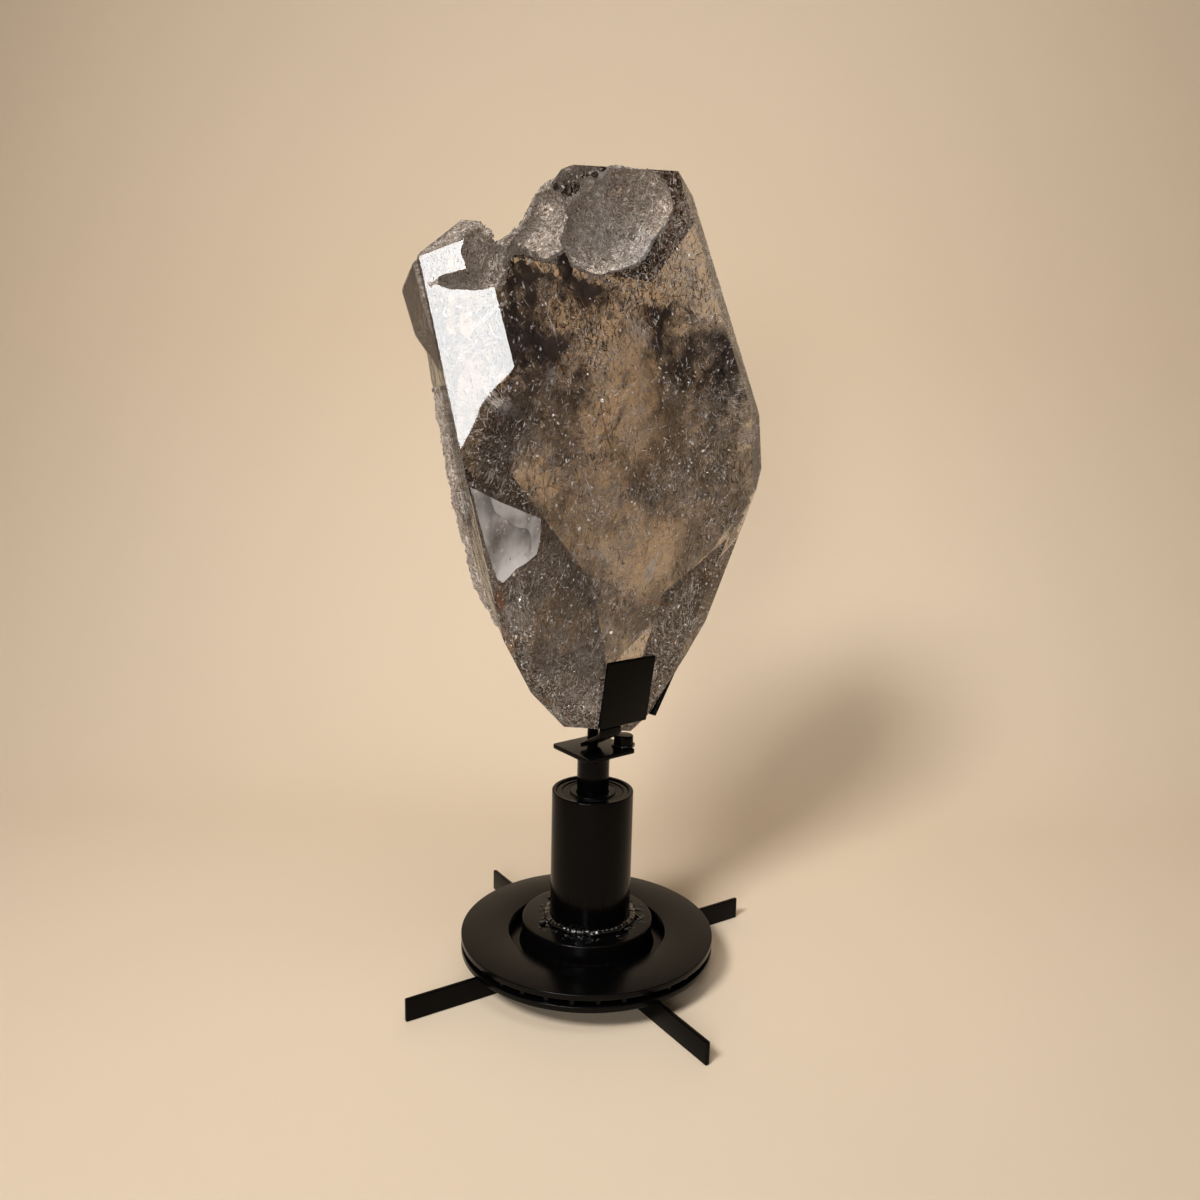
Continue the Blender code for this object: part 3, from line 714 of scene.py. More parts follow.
def smoky(finish):
    smoke = finish.node("ShaderNodeVolumeAbsorption", None, {
        "Color": rgba(quartzLook["smoke"]), "Density": quartzLook["density"]}, "Volume")
    finish.tree.links.new(smoke.socket, finish.output.inputs["Volume"])
    return finish.material


def warpedPlace(finish, warp):
    # The place on the object, pushed about so that what is drawn round it has a ragged edge.
    values = {"Vector": finish.place, "Scale": 26.0, "Detail": 3.0, "Roughness": 0.62}
    push = finish.node("ShaderNodeTexNoise", None, values, "Color")
    push = finish.node("ShaderNodeVectorMath", {"operation": "SUBTRACT"}, {0: push, 1: (0.5, 0.5, 0.5)})
    push = finish.node("ShaderNodeVectorMath", {"operation": "SCALE"}, {0: push, "Scale": warp})
    return finish.node("ShaderNodeVectorMath", {"operation": "ADD"}, {0: finish.place, 1: push})


def nearness(finish, centre, low, high, stretch=(1.0, 1.0, 1.0), place=None):
    # 1 close to a place, fading to 0 further off.
    away = finish.node("ShaderNodeVectorMath", {"operation": "SUBTRACT"}, {0: place or finish.place, 1: tuple(centre)})
    away = finish.node("ShaderNodeVectorMath", {"operation": "MULTIPLY"}, {0: away, 1: stretch})
    return finish.node("ShaderNodeVectorMath", {"operation": "LENGTH"}, {0: away}, "Value").below(low, high)


def polishedFinish():
    finish = Finish("polishedQuartz")
    waves = finish.noise(16.0, 1.0)
    fine = finish.noise(260.0, 1.0)
    scratch = strokes(finish, 55.0, 0.66, 0.010)
    finish.shader({
        "Base Color": finish.mix(fine.above(0.2, 0.8), (0.97, 0.965, 0.955), (1.0, 1.0, 1.0)),
        "Roughness": fine * 0.02 + scratch * 0.04 + 0.005,
        "IOR": quartzLook["ior"],
        "Transmission Weight": 1.0,
        "Normal": finish.bump(waves * 0.12, 1.0, 0.003),
    })
    return smoky(finish)


def wavyFinish():
    # Growth faces left as they were found: glassy, with streaks that run up the stone.
    finish = Finish("wavyQuartz")
    streaks = finish.noise(34.0, 4.0, 1.6, finish.mapped(scale=(1.0, 1.0, 0.30), turn=(0.0, 0.25, 0.0)))
    steps = finish.noise(120.0, 3.0, 2.2, finish.mapped(scale=(1.0, 1.0, 0.45)))
    lines = (streaks * 9.0).maths("FRACT")
    finish.shader({
        "Base Color": finish.mix(streaks.above(0.35, 0.65), (0.90, 0.76, 0.50), (1.0, 0.97, 0.90)),
        "Roughness": steps.above(0.45, 0.7) * 0.16 + 0.02,
        "IOR": quartzLook["ior"],
        "Transmission Weight": 1.0,
        "Normal": finish.bump(lines * 0.22 + streaks * 2.2 + steps * 0.4, 1.0, 0.006),
    })
    return smoky(finish)


naturalLook = {"largestFacet": 0.00021, "edge": 0.0017, "relief": 0.0034,
               "hollow": (0.030, -0.095, 0.800), "rust": (497, 603)}


def naturalFinish():
    # Broken and etched skin: pale and matt in the hollow, brown and layered at the notch.
    finish = Finish("naturalQuartz")
    warped = finish.noise(46.0, 4.0, 2.4)
    fine = finish.noise(150.0, 3.0, 1.4)
    wiggles = (finish.noise(44.0, 2.0, 1.6) - 0.5).maths("ABSOLUTE").below(0.006, 0.026)
    layers = (warped * 13.0).maths("FRACT")
    pale = nearness(finish, naturalLook["hollow"], 0.045, 0.070, (1.0, 0.8, 1.1))
    rust = nearness(finish, seenAt(*naturalLook["rust"], 0.0), 0.006, 0.021, (1.8, 1.0, 0.8)) * fine.above(0.35, 0.6)
    brown = finish.ramp(layers * 0.6 + fine * 0.4, [(0.10, (0.060, 0.032, 0.018)), (0.35, (0.26, 0.17, 0.11)),
                                                    (0.55, (0.50, 0.41, 0.34)), (0.80, (0.80, 0.73, 0.66))])
    grey = finish.ramp(fine * 0.7 + warped * 0.3, [(0.34, (0.42, 0.38, 0.36)), (0.5, (0.74, 0.71, 0.69)),
                                                   (0.62, (0.97, 0.96, 0.95))])
    grey = finish.mix(wiggles * 0.85, grey, (0.09, 0.065, 0.045))
    tan = finish.noise(60.0, 3.0, 0.8).above(0.58, 0.72) * 0.5
    grey = finish.mix(tan, grey, (0.42, 0.30, 0.19))
    colour = finish.mix(pale, brown, grey)
    finish.shader({
        "Base Color": finish.mix(rust, colour, (0.30, 0.070, 0.015)),
        "Roughness": fine * 0.25 + pale * 0.30 + 0.16,
        "IOR": quartzLook["ior"],
        # Painted light: the skin's own colour glows as emission, standing in for light that soaks through the stone.
        "Emission Color": colour,           # light that soaks through the stone behind
        "Emission Strength": 0.17,
        "Normal": finish.bump(layers * 0.30 + warped * 1.3 + fine * 0.30 - wiggles * 0.60, 1.0, 0.006),
    })
    return finish.material


polishedQuartz = polishedFinish()
naturalQuartz = naturalFinish()
wavyQuartz = wavyFinish()


print("stage 7: quartz body")
wavyLook = {"headings": (-78.0, -60.0), "lowest": 0.30, "highest": 0.70}
crackLook = {    # the level crack across the window facet: places in the picture and half widths in metres
    "path": [(433, 283, 0.0014), (441, 281, 0.0034), (450, 283, 0.0042), (459, 281, 0.0054), (468, 283, 0.0062),
             (477, 279, 0.0078), (486, 270, 0.0105), (494, 258, 0.0125), (501, 246, 0.0120)],
    "around": 7, "rough": 1.0,
}


def kindOfFace(face):
    # 0 polished, 1 broken skin, 2 wavy growth face.
    centre, normal = face.calc_center_median(), face.normal
    if face.calc_area() < naturalLook["largestFacet"]:
        return 1
    inNotch = centre.z > 0.755 and -0.125 < centre.x < -0.03 and face.calc_area() < 0.0040
    if inNotch and normal.z > 0.40 and normal.y > -0.62 and abs(normal.x) > 0.3:
        return 1
    heading = math.degrees(math.atan2(normal.x, -normal.y))
    low, high = wavyLook["headings"]
    if low < heading < high and wavyLook["lowest"] < centre.z < wavyLook["highest"]:
        return 2
    return 0


def refined(shape, longest):
    for _ in range(8):
        rough = [face for face in shape.faces if face.material_index == 1]
        bmesh.ops.triangulate(shape, faces=rough)
        edges = [edge for edge in shape.edges if edge.calc_length() > longest * 1.5
                 and any(face.material_index == 1 for face in edge.link_faces)]
        if not edges:
            break
        bmesh.ops.subdivide_edges(shape, edges=edges, cuts=1)


def relief(point):
    wave = 0.5 + 0.5 * noise.fractal(point * 55.0, 1.0, 2.1, 4)
    ridge = 2.6 * abs(noise.noise(Vector((point.x * 120.0, point.y * 120.0, point.z * 85.0))))
    ridge += 1.3 * abs(noise.noise(point * 250.0))
    layer = (noise.noise(point * 32.0) * 6.0) % 1.0
    return naturalLook["relief"] * (0.6 * wave + 0.45 * ridge + 0.50 * layer)


def quartzForm():
    shape = bmesh.new()
    shape.from_mesh(nodes["crystal"].data)
    bmesh.ops.remove_doubles(shape, verts=shape.verts, dist=0.00002)
    bmesh.ops.dissolve_limit(shape, angle_limit=math.radians(0.4), verts=shape.verts, edges=shape.edges)
    for face in shape.faces:
        face.material_index = kindOfFace(face)
    mesh = bpy.data.meshes.new("quartzFreeform")
    shape.to_mesh(mesh)
    shape.free()
    for material in (polishedQuartz, naturalQuartz, wavyQuartz):
        mesh.materials.append(material)
    piece = newPiece("quartzFreeform", mesh)

    path = [seenAt(x, y, 0.0) for x, y, _ in crackLook["path"]]
    widths = [width for _, _, width in crackLook["path"]]
    cutShape = tubeShape(path, widths, crackLook["around"], crackLook["rough"], 2.0, 0.8)
    for face in cutShape.faces:
        face.material_index = 1
    cutMesh = bpy.data.meshes.new("crackShape")
    cutShape.to_mesh(cutMesh)
    cutShape.free()
    for material in (polishedQuartz, naturalQuartz, wavyQuartz):
        cutMesh.materials.append(material)
    cutter = newPiece("crackShape", cutMesh)
    cut = piece.modifiers.new("crack", "BOOLEAN")
    cut.operation = "DIFFERENCE"
    cut.solver = "EXACT"
    cut.object = cutter
    asMesh(piece)
    bpy.data.objects.remove(cutter)

    shape = bmesh.new()
    shape.from_mesh(piece.data)
    refined(shape, naturalLook["edge"])
    shape.normal_update()
    moved = []
    for vert in shape.verts:
        if vert.link_faces and all(face.material_index == 1 for face in vert.link_faces):
            moved.append((vert, vert.co - vert.normal * relief(vert.co)))
    for vert, place in moved:
        vert.co = place
    bmesh.ops.triangulate(shape, faces=[face for face in shape.faces if len(face.verts) > 3])
    shape.to_mesh(piece.data)
    shape.free()
    kinds = [polygon.material_index for polygon in piece.data.polygons]
    print("  quartz triangles", len(kinds), "broken skin", kinds.count(1), "wavy", kinds.count(2))
    for polygon in piece.data.polygons:
        polygon.use_smooth = polygon.material_index == 1
    return settled(piece, "holder", "quartz", "crystal")


quartz = quartzForm()
quartzSkin = surfaceTree(quartz.data)
quartzLow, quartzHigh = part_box("crystal")


print("stage 8: inside the quartz")


def depthIn(skin, point):
    # How far a place is from a closed surface, below 0 outside it.
    away = skin.find_nearest(point)[3]
    for line in (Vector((0.31, 0.22, 0.92)), Vector((-0.84, 0.41, -0.36)), Vector((0.52, -0.83, 0.19))):
        hit, normal, _, _ = skin.ray_cast(point, line)
        if hit is None or normal.dot(line) <= 0.0:
            return -away
    return away


def insideDepth(point):
    return min(depthIn(quartzSkin, point), depthIn(cadSkin, point))


def fitted(point, along, size):
    # A fibre cut to the room that the broken skin leaves it, or nothing where there is none.
    room = insideDepth(point) * 0.95
    if room < 0.0006:
        return []
    return [(point, along, (size[0], size[1], min(size[2], room)))]


def zone(row, spot):
    # 1 in the middle of an oval of the picture, 0 outside it.
    x, y, wide, high = row
    away = ((spot[0] - x) / wide) ** 2 + ((spot[1] - y) / high) ** 2
    return math.exp(-away * 0.9)


clearings = {"goldenWindow": (622, 386, 46, 72), "beigeWindow": (640, 555, 48, 50), "oliveCorner": (708, 586, 18, 58),
             "leftWindow": (540, 478, 34, 22), "smoothVeil": (508, 535, 26, 34)}
quiet = {"leftStrip": (452, 480, 20, 130), "lobe": (412, 300, 20, 70), "rightStrip": (744, 450, 10, 200)}
crowds = {"hazeByHollow": (668, 262, 34, 40), "middleBelt": (604, 494, 60, 22), "leftMiddle": (520, 430, 46, 50),
          "lowBelt": (610, 600, 90, 26), "tip": (560, 665, 60, 46), "leftLow": (510, 590, 40, 60), "rightMiddle": (690, 480, 40, 50),
          "upperRight": (700, 330, 26, 60)}
shades = {"upperLeft": (548, 325, 46, 62), "underHollow": (610, 300, 90, 26), "right": (712, 385, 34, 80),
          "topEdge": (560, 215, 40, 40), "lobe": (415, 300, 16, 60), "middleRight": (720, 450, 26, 50)}


def clearness(point):
    spot = inPicture(point)
    return max(zone(row, spot) for row in (*clearings.values(), *quiet.values()))


def crowding(point):
    spot = inPicture(point)
    return max(zone(row, spot) for row in crowds.values())


def shading(point):
    spot = inPicture(point)
    return max(zone(row, spot) for row in shades.values())


def cloud(point, scale, seed):
    return noise.fractal(point * scale + Vector((seed, seed * 0.37, 0.0)), 1.0, 2.0, 3)


def paleChance(point):
    base = 0.5 + 1.3 * cloud(point, 17.0, 3.0) + 0.8 * cloud(point, 70.0, 8.0)
    return (0.02 + 0.60 * max(base, 0.0) ** 3 + 0.7 * crowding(point)) * (1.0 - 0.80 * clearness(point))


def darkChance(point):
    base = 0.4 + 1.5 * cloud(point, 15.0, 11.0) + 0.6 * cloud(point, 60.0, 5.0)
    return (0.02 + 0.55 * max(base, 0.0) ** 3 + 1.0 * shading(point)) * (1.0 - 0.92 * clearness(point))


def evenChance(point):
    return 0.5 - 0.4 * clearness(point)


def seedMesh(name, rows):
    # Loose points with a direction and a size each, for the trees below.
    mesh = bpy.data.meshes.new(name)
    mesh.from_pydata([row[0] for row in rows], [], [])
    for attribute, place in (("lean", 1), ("reach", 2)):
        layer = mesh.attributes.new(attribute, "FLOAT_VECTOR", "POINT")
        layer.data.foreach_set("vector", [value for row in rows for value in row[place]])
    return mesh


def grainAt(point, rng, order):
    # Fibres mostly follow the stone's length and swirl a little.
    loose = Vector((rng.gauss(0.0, 1.0), rng.gauss(0.0, 1.0), rng.gauss(0.0, 1.0)))
    if rng.random() > order:
        return loose.normalized()
    swirl = noise.noise_vector(point * 24.0)
    return (Vector((0.12, 0.0, 1.0)) + swirl * 0.9 + loose * 0.22).normalized()


def sprinkle(look, chance):
    rng = random.Random(look["seed"])
    rows = []
    for _ in range(look["count"] * 60):
        if len(rows) >= look["count"]:
            break
        point = Vector(rng.uniform(quartzLow[k], quartzHigh[k]) for k in range(3))
        if rng.random() > chance(point):
            continue
        depth = depthIn(cadSkin, point)
        if depth < look["margin"] or rng.random() > 0.30 + 0.70 * math.exp(-(depth - look["margin"]) / look["skin"]):
            continue
        length = look["length"][0] + (look["length"][1] - look["length"][0]) * rng.random() ** 2.2
        width = look["width"] * rng.uniform(0.6, 1.5)
        flat = look.get("flat", 1.0)
        rows += fitted(point, grainAt(point, rng, look["order"]), (width, width * flat, length))
    return rows


def swarms(look):
    # Healed cracks: curved sheets of short fibres that lie side by side.
    rng = random.Random(look["seed"])
    rows = []
    while len(rows) < look["count"]:
        centre = Vector(rng.uniform(quartzLow[k], quartzHigh[k]) for k in range(3))
        if depthIn(cadSkin, centre) < 0.004:
            continue
        face = Vector((rng.gauss(0.0, 1.0), rng.gauss(0.0, 1.0), rng.gauss(0.0, 0.7))).normalized()
        first = face.orthogonal().normalized()
        first = (first * math.cos(rng.uniform(0.0, 6.28)) + face.cross(first) * math.sin(rng.uniform(0.0, 6.28)))
        first = (first - face * first.dot(face)).normalized()
        second = face.cross(first)
        size = rng.uniform(*look["sheet"])
        curl = rng.uniform(-4.0, 4.0)
        for _ in range(int(look["each"] * rng.uniform(0.4, 1.6))):
            a, b = rng.gauss(0.0, 0.45) * size, rng.gauss(0.0, 0.45) * size
            wave = noise.noise(centre * 90.0 + Vector((a * 60.0, b * 60.0, 0.0)))
            point = centre + first * a + second * b + face * (curl * (a * a + b * b) + wave * 0.003)
            if wave < -0.18 or depthIn(cadSkin, point) < look["margin"]:
                continue
            along = (first + second * rng.gauss(0.0, 0.25) + face * rng.gauss(0.0, 0.1)).normalized()
            length = rng.uniform(*look["length"])
            width = look["width"] * rng.uniform(0.6, 1.5)
            rows += fitted(point, along, (width, width * look["flat"], length))
    return rows[:look["count"]]


def sliverTree(material):
    tree = Tree("slivers " + material.name, [("Turns", "NodeSocketFloat")])
    sliver = tree.node("GeometryNodeMeshCone", None, {
        "Vertices": 3, "Side Segments": 1, "Fill Segments": 1, "Radius Top": 0.0, "Radius Bottom": 1.0, "Depth": 1.0,
    }).outputs["Mesh"]
    return pointed(tree, sliver, material)


def flakeTree(material):
    tree = Tree("flakes " + material.name, [("Turns", "NodeSocketFloat")])
    disc = tree.node("GeometryNodeMeshCircle", {"fill_type": "TRIANGLE_FAN"}, {"Vertices": 9, "Radius": 1.0}).outputs[0]
    place = tree.node("GeometryNodeInputPosition").outputs[0]
    ragged = tree.node("ShaderNodeTexNoise", None, {"Vector": place, "Scale": 1.7, "Detail": 2.0}).outputs["Color"]
    push = tree.vector("SCALE", tree.vector("SUBTRACT", ragged, (0.5, 0.5, 0.5)), None, 1.1)
    flake = tree.node("GeometryNodeSetPosition", None, {"Geometry": disc, "Offset": push}).outputs[0]
    return pointed(tree, flake, material)


def pointed(tree, shape, material):
    lean = tree.node("GeometryNodeInputNamedAttribute", {"data_type": "FLOAT_VECTOR"}, {"Name": "lean"}).outputs[0]
    reach = tree.node("GeometryNodeInputNamedAttribute", {"data_type": "FLOAT_VECTOR"}, {"Name": "reach"}).outputs[0]
    aimed = tree.node("FunctionNodeAlignRotationToVector", {"axis": "Z"}, {"Vector": lean}).outputs[0]
    spin = tree.maths("MULTIPLY", tree.chance("FLOAT", 0.0, 6.2832, 5), tree.given("Turns"))
    spun = tree.node("FunctionNodeAxisAngleToRotation", None, {"Axis": (0.0, 0.0, 1.0), "Angle": spin}).outputs[0]
    turned = tree.node("FunctionNodeRotateRotation", {"rotation_space": "LOCAL"},
                       {"Rotation": aimed, "Rotate By": spun}).outputs[0]
    seeds = tree.node("GeometryNodeMeshToPoints", None, {"Mesh": tree.given("Geometry")}).outputs[0]
    many = tree.node("GeometryNodeInstanceOnPoints", None, {
        "Points": seeds, "Instance": shape, "Rotation": turned, "Scale": reach}).outputs[0]
    tree.close(many, material)
    return tree


def fibreFinish(name, dark, pale, roughness, metal=0.0, glow=0.0):
    # Glow stands for the light that fine fibres scatter on to each other.
    finish = Finish(name)
    tone = finish.noise(45.0, 3.0) * 0.5 + finish.noise(420.0, 2.0) * 0.5
    finish.shader({"Base Color": finish.mix(tone.above(0.38, 0.62), dark, pale), "Roughness": tone * 0.2 + roughness,
                   "Metallic": metal, "Emission Color": rgba(pale), "Emission Strength": glow})
    return finish.material


def shadeFinish():
    # Small open cracks: thin bent mirrors with torn edges that catch the light or the dark.
    finish = Finish("smokeFilm")
    torn = finish.noise(70.0, 5.0, 1.6, None, 0.62)
    streaks = finish.noise(150.0, 2.0, 0.6, finish.mapped(scale=(1.0, 1.0, 0.22)))
    finish.shader({
        "Base Color": finish.mix(streaks.above(0.4, 0.6), (0.08, 0.055, 0.045), (0.45, 0.40, 0.38)),
        "Roughness": streaks * 0.2 + 0.05,
        "Metallic": 0.85,
        "Alpha": torn.above(0.42, 0.56) * (streaks * 0.4 + 0.35),
        "Normal": finish.bump(torn, 1.0, 0.004),
    })
    return finish.material


def veilFinish(name, tone, strength, scale, seedShift):
    # Wisps on a healed crack, drawn as many short strokes and a thin mist.
    finish = Finish(name)
    patches = finish.noise(19.0, 4.0, 0.9, finish.mapped(shift=(seedShift, 0.0, seedShift))).above(0.47, 0.66)
    drawn = strokes(finish, scale, 0.62, 0.05, seedShift) + strokes(finish, scale * 1.9, 0.6, 0.07, seedShift + 2.0)
    mist = finish.noise(160.0, 5.0, 1.4, None, 0.7).above(0.50, 0.72)
    fade = finish.node("ShaderNodeAttribute", {"attribute_name": "fade"}, None, "Fac")
    finish.shader({
        "Base Color": finish.mix(mist, tone, tuple(min(1.0, 1.25 * c) for c in tone)),
        "Roughness": 0.45,
        # Painted light: the wisps glow faintly in their own tone, though they are no lamp.
        "Emission Color": rgba(tone),
        "Emission Strength": 0.07,
        "Alpha": patches * (drawn * 0.75 + mist * 0.35) * fade * strength,
    })
    return finish.material


def veilSheet(name, centre, face, size, curl, seed, material, margin=0.0015, steps=44, fadeIn=0.007):
    # A warped sheet inside the stone, cut off where it would come out.
    face = Vector(face).normalized()
    first = face.orthogonal().normalized()
    second = face.cross(first)
    shape = bmesh.new()
    grid = {}
    for i in range(steps + 1):
        for j in range(steps + 1):
            a, b = (i / steps - 0.5) * size, (j / steps - 0.5) * size
            wave = noise.noise(Vector((a * 14.0 + seed, b * 14.0, seed))) * curl
            wave += noise.noise(Vector((a * 48.0, b * 48.0 + seed, seed))) * curl * 0.30
            point = Vector(centre) + first * a + second * b + face * wave
            if insideDepth(point) > margin:
                grid[i, j] = shape.verts.new(point)
    for i in range(steps):
        for j in range(steps):
            corners = [(i, j), (i + 1, j), (i + 1, j + 1), (i, j + 1)]
            if all(corner in grid for corner in corners):
                shape.faces.new([grid[corner] for corner in corners])
    loose = [vert for vert in shape.verts if not vert.link_faces]
    bmesh.ops.delete(shape, geom=loose, context="VERTS")
    mesh = bpy.data.meshes.new(name)
    shape.to_mesh(mesh)
    shape.free()
    mesh.shade_smooth()
    fade = mesh.attributes.new("fade", "FLOAT", "POINT")
    depths = [min(1.0, max(0.0, (insideDepth(vert.co) - margin) / fadeIn)) for vert in mesh.vertices]
    fade.data.foreach_set("value", depths)
    return settled(newPiece(name, mesh, material), "holder", "quartz")


def smokeFinish(name, tone, strength, seedShift, clears):
    # Smoke in the stone: a soft dark cloud with openings where light comes through.
    finish = Finish(name)
    cloudy = finish.noise(10.0, 4.0, 0.9, finish.mapped(shift=(seedShift, 0.0, seedShift)), 0.55)
    frayed = finish.noise(75.0, 2.0)
    dark = (cloudy * 0.75 + frayed * 0.25).above(0.38, 0.58)
    torn = warpedPlace(finish, 0.11)
    fade = finish.node("ShaderNodeAttribute", {"attribute_name": "fade"}, None, "Fac")
    height = finish.node("ShaderNodeSeparateXYZ", None, {"Vector": finish.place}, "Z")
    cover = (dark * strength + strength * 0.20) * (height.above(0.56, 0.68) * 0.45 + 0.72)
    for place, reach, left in clears:
        opening = nearness(finish, place, 0.55, 1.15, (1.0 / reach[0], 0.3 / reach[0], 1.0 / reach[1]), torn)
        cover = cover * (1.0 - opening * left)
    finish.shader({
        "Base Color": finish.mix(frayed.above(0.35, 0.65), tone, tuple(2.2 * c for c in tone)),
        "Roughness": 0.6,
        "Alpha": cover * fade,
    })
    return finish.material


fibreLook = {
    "pale": {"count": 11000, "seed": 3, "length": (0.0030, 0.0160), "width": 0.00046, "margin": 0.0018, "skin": 0.010,
             "order": 0.50},
    "grey": {"count": 3500, "seed": 14, "length": (0.0025, 0.0100), "width": 0.00060, "margin": 0.0018, "skin": 0.016,
             "order": 0.35},
    "dark": {"count": 4500, "seed": 7, "length": (0.0040, 0.0180), "width": 0.00060, "margin": 0.0020, "skin": 0.012,
             "order": 0.60},
    "film": {"count": 520, "seed": 21, "length": (0.005, 0.022), "width": 0.0060, "margin": 0.0050, "skin": 0.022,
             "order": 0.5},
    "glint": {"count": 4200, "seed": 31, "length": (0.0012, 0.0044), "width": 0.0012, "margin": 0.0012, "skin": 0.010,
              "order": 0.0},
}
swarmLook = {"count": 9000, "seed": 5, "sheet": (0.012, 0.038), "each": 150, "margin": 0.0018,
             "length": (0.0030, 0.0095), "width": 0.00036, "flat": 1.0}

paleFibre = fibreFinish("paleFibre", (0.38, 0.29, 0.24), (0.97, 0.92, 0.89), 0.28, 0.0, 0.13)
greyFibre = fibreFinish("greyFibre", (0.17, 0.115, 0.095), (0.50, 0.43, 0.40), 0.35, 0.0, 0.05)
darkFibre = fibreFinish("darkFibre", (0.012, 0.007, 0.005), (0.075, 0.045, 0.030), 0.30)
# The glints' glow is painted sparkle: the flakes shine even where they mirror no lamp.
glintFinish = fibreFinish("glintFinish", (0.80, 0.77, 0.74), (0.97, 0.96, 0.95), 0.10, 1.0, 0.30)
smokeFilm = shadeFinish()

def upright(rows, rng):
    # Flakes lie across their own direction, so each gets a level one and a second size.
    laid = []
    for point, lean, (width, _, length) in rows:
        level = Vector((rng.gauss(0.0, 1.0), rng.gauss(0.0, 1.0), rng.gauss(0.0, 0.35))).normalized()
        laid.append((point, level, (length * 0.5, width * rng.uniform(0.5, 1.2), length * 0.5)))
    return laid


def addFibres():
    kinds = (("paleFibres", paleFibre, sprinkle(fibreLook["pale"], paleChance)),
             ("greyFibres", greyFibre, sprinkle(fibreLook["grey"], paleChance)),
             ("darkFibres", darkFibre, sprinkle(fibreLook["dark"], darkChance)),
             ("healedCracks", paleFibre, swarms(swarmLook)))
    for name, material, rows in kinds:
        fibres = sliverTree(material).grow(name, seedMesh(name + "Seeds", rows), {"Turns": 1.0})
        settled(fibres, "holder", "quartz")


def addFlakes():
    films = upright(sprinkle(fibreLook["film"], darkChance), random.Random(2))
    fitting = []
    for point, lean, (long, wide, high) in films:
        room = insideDepth(point) * 0.8
        fitting.append((point, lean, (min(long, room), min(wide, room), high)))
    glints = upright(sprinkle(fibreLook["glint"], evenChance), random.Random(4))
    for name, material, rows in (("openCracks", smokeFilm, fitting), ("glints", glintFinish, glints)):
        flakes = flakeTree(material).grow(name, seedMesh(name + "Seeds", rows), {"Turns": 1.0})
        settled(flakes, "holder", "quartz")


veilPale = veilFinish("veilPale", (0.86, 0.82, 0.80), 0.95, 150.0, 0.0)
veilGrey = veilFinish("veilGrey", (0.62, 0.59, 0.60), 0.85, 95.0, 1.7)
veilRows = [    # behind which spot of the picture, how deep, turned from the facet, size, curl
    ("veilUpperFront", (640, 330), 0.010, (0.10, 0.16, 0.05), 0.24, 0.012, veilGrey),
    ("veilMiddle", (600, 470), 0.014, (0.18, -0.10, 0.10), 0.26, 0.014, veilPale),
    ("veilLower", (600, 600), 0.008, (0.05, 0.12, -0.10), 0.24, 0.010, veilPale),
    ("veilLowerDeep", (590, 620), 0.034, (0.25, 0.10, 0.20), 0.22, 0.016, veilPale),
    ("veilRight", (710, 400), 0.012, (0.30, 0.10, 0.0), 0.20, 0.012, veilGrey),
    ("veilHaze", (668, 262), 0.006, (0.05, 0.10, 0.12), 0.11, 0.006, veilPale),
]
sideVeils = [("veilBack", (0.02, 0.075, 0.62), (0.3, 0.9, 0.1)), ("veilBackRight", (0.07, 0.03, 0.56), (0.9, 0.3, 0.1)),
             ("veilBackLeft", (-0.08, 0.02, 0.62), (-0.8, 0.5, 0.2)), ("veilBackLow", (0.0, 0.03, 0.45), (-0.2, 0.9, -0.3))]


def facetAt(spot):
    # Which way the quartz's surface faces at a spot of the picture.
    return cadSkin.find_nearest(seenAt(*spot, 0.0))[1]


def addVeils():
    for number, (name, spot, depth, tip, size, curl, material) in enumerate(veilRows):
        veilSheet(name, seenAt(*spot, depth), facetAt(spot) + Vector(tip), size, curl, 3.0 + number * 7.3, material)
    for number, (name, middle, face) in enumerate(sideVeils):
        veilSheet(name, middle, face, 0.24, 0.016, 71.0 + number * 5.1, veilPale)


smoothLook = {"outline": [(470, 487), (500, 502), (541, 519), (540, 540), (537, 554), (531, 559), (525, 564),
                         (516, 569), (509, 577), (503, 583), (497, 579), (488, 553), (479, 520)],
              "depth": 0.0040, "rings": 7}


def smoothVeil():
    # A smooth pale flake just under the skin, with a shell-like lower edge.
    finish = Finish("smoothVeil")
    ribs = finish.noise(42.0, 3.0, 0.8, finish.mapped(scale=(1.0, 1.0, 0.35)))
    rim = nearness(finish, seenAt(512, 572, smoothLook["depth"]), 0.004, 0.034, (0.8, 0.8, 1.0))
    finish.shader({
        "Base Color": finish.mix(ribs.above(0.35, 0.65), (0.72, 0.68, 0.66), (0.92, 0.89, 0.88)),
        "Roughness": 0.30,
        "Alpha": ribs.above(0.35, 0.65) * 0.22 + rim * 0.32 + 0.26,
        # Painted light: the flake glows with a pale emission, though it is no lamp.
        "Emission Color": (0.8, 0.76, 0.75, 1.0), "Emission Strength": 0.42,
    })
    rim = [seenAt(x, y, smoothLook["depth"]) for x, y in smoothLook["outline"]]
    middle = sum(rim, Vector()) / len(rim)
    rings = smoothLook["rings"]
    shape = bmesh.new()
    rows = []
    inward = cadSkin.find_nearest(middle)[1] * -0.004
    for ring in range(1, rings + 1):
        t = ring / rings
        rows.append([shape.verts.new(middle.lerp(point, t) + inward * (1.0 - t * t)) for point in rim])
    hub = shape.verts.new(middle + inward)
    for k in range(len(rim)):
        after = (k + 1) % len(rim)
        shape.faces.new((hub, rows[0][k], rows[0][after]))
        for ring in range(rings - 1):
            shape.faces.new((rows[ring][k], rows[ring + 1][k], rows[ring + 1][after], rows[ring][after]))
    mesh = bpy.data.meshes.new("smoothVeil")
    shape.to_mesh(mesh)
    shape.free()
    mesh.shade_smooth()
    return settled(newPiece("smoothVeil", mesh, finish.material), "holder", "quartz")


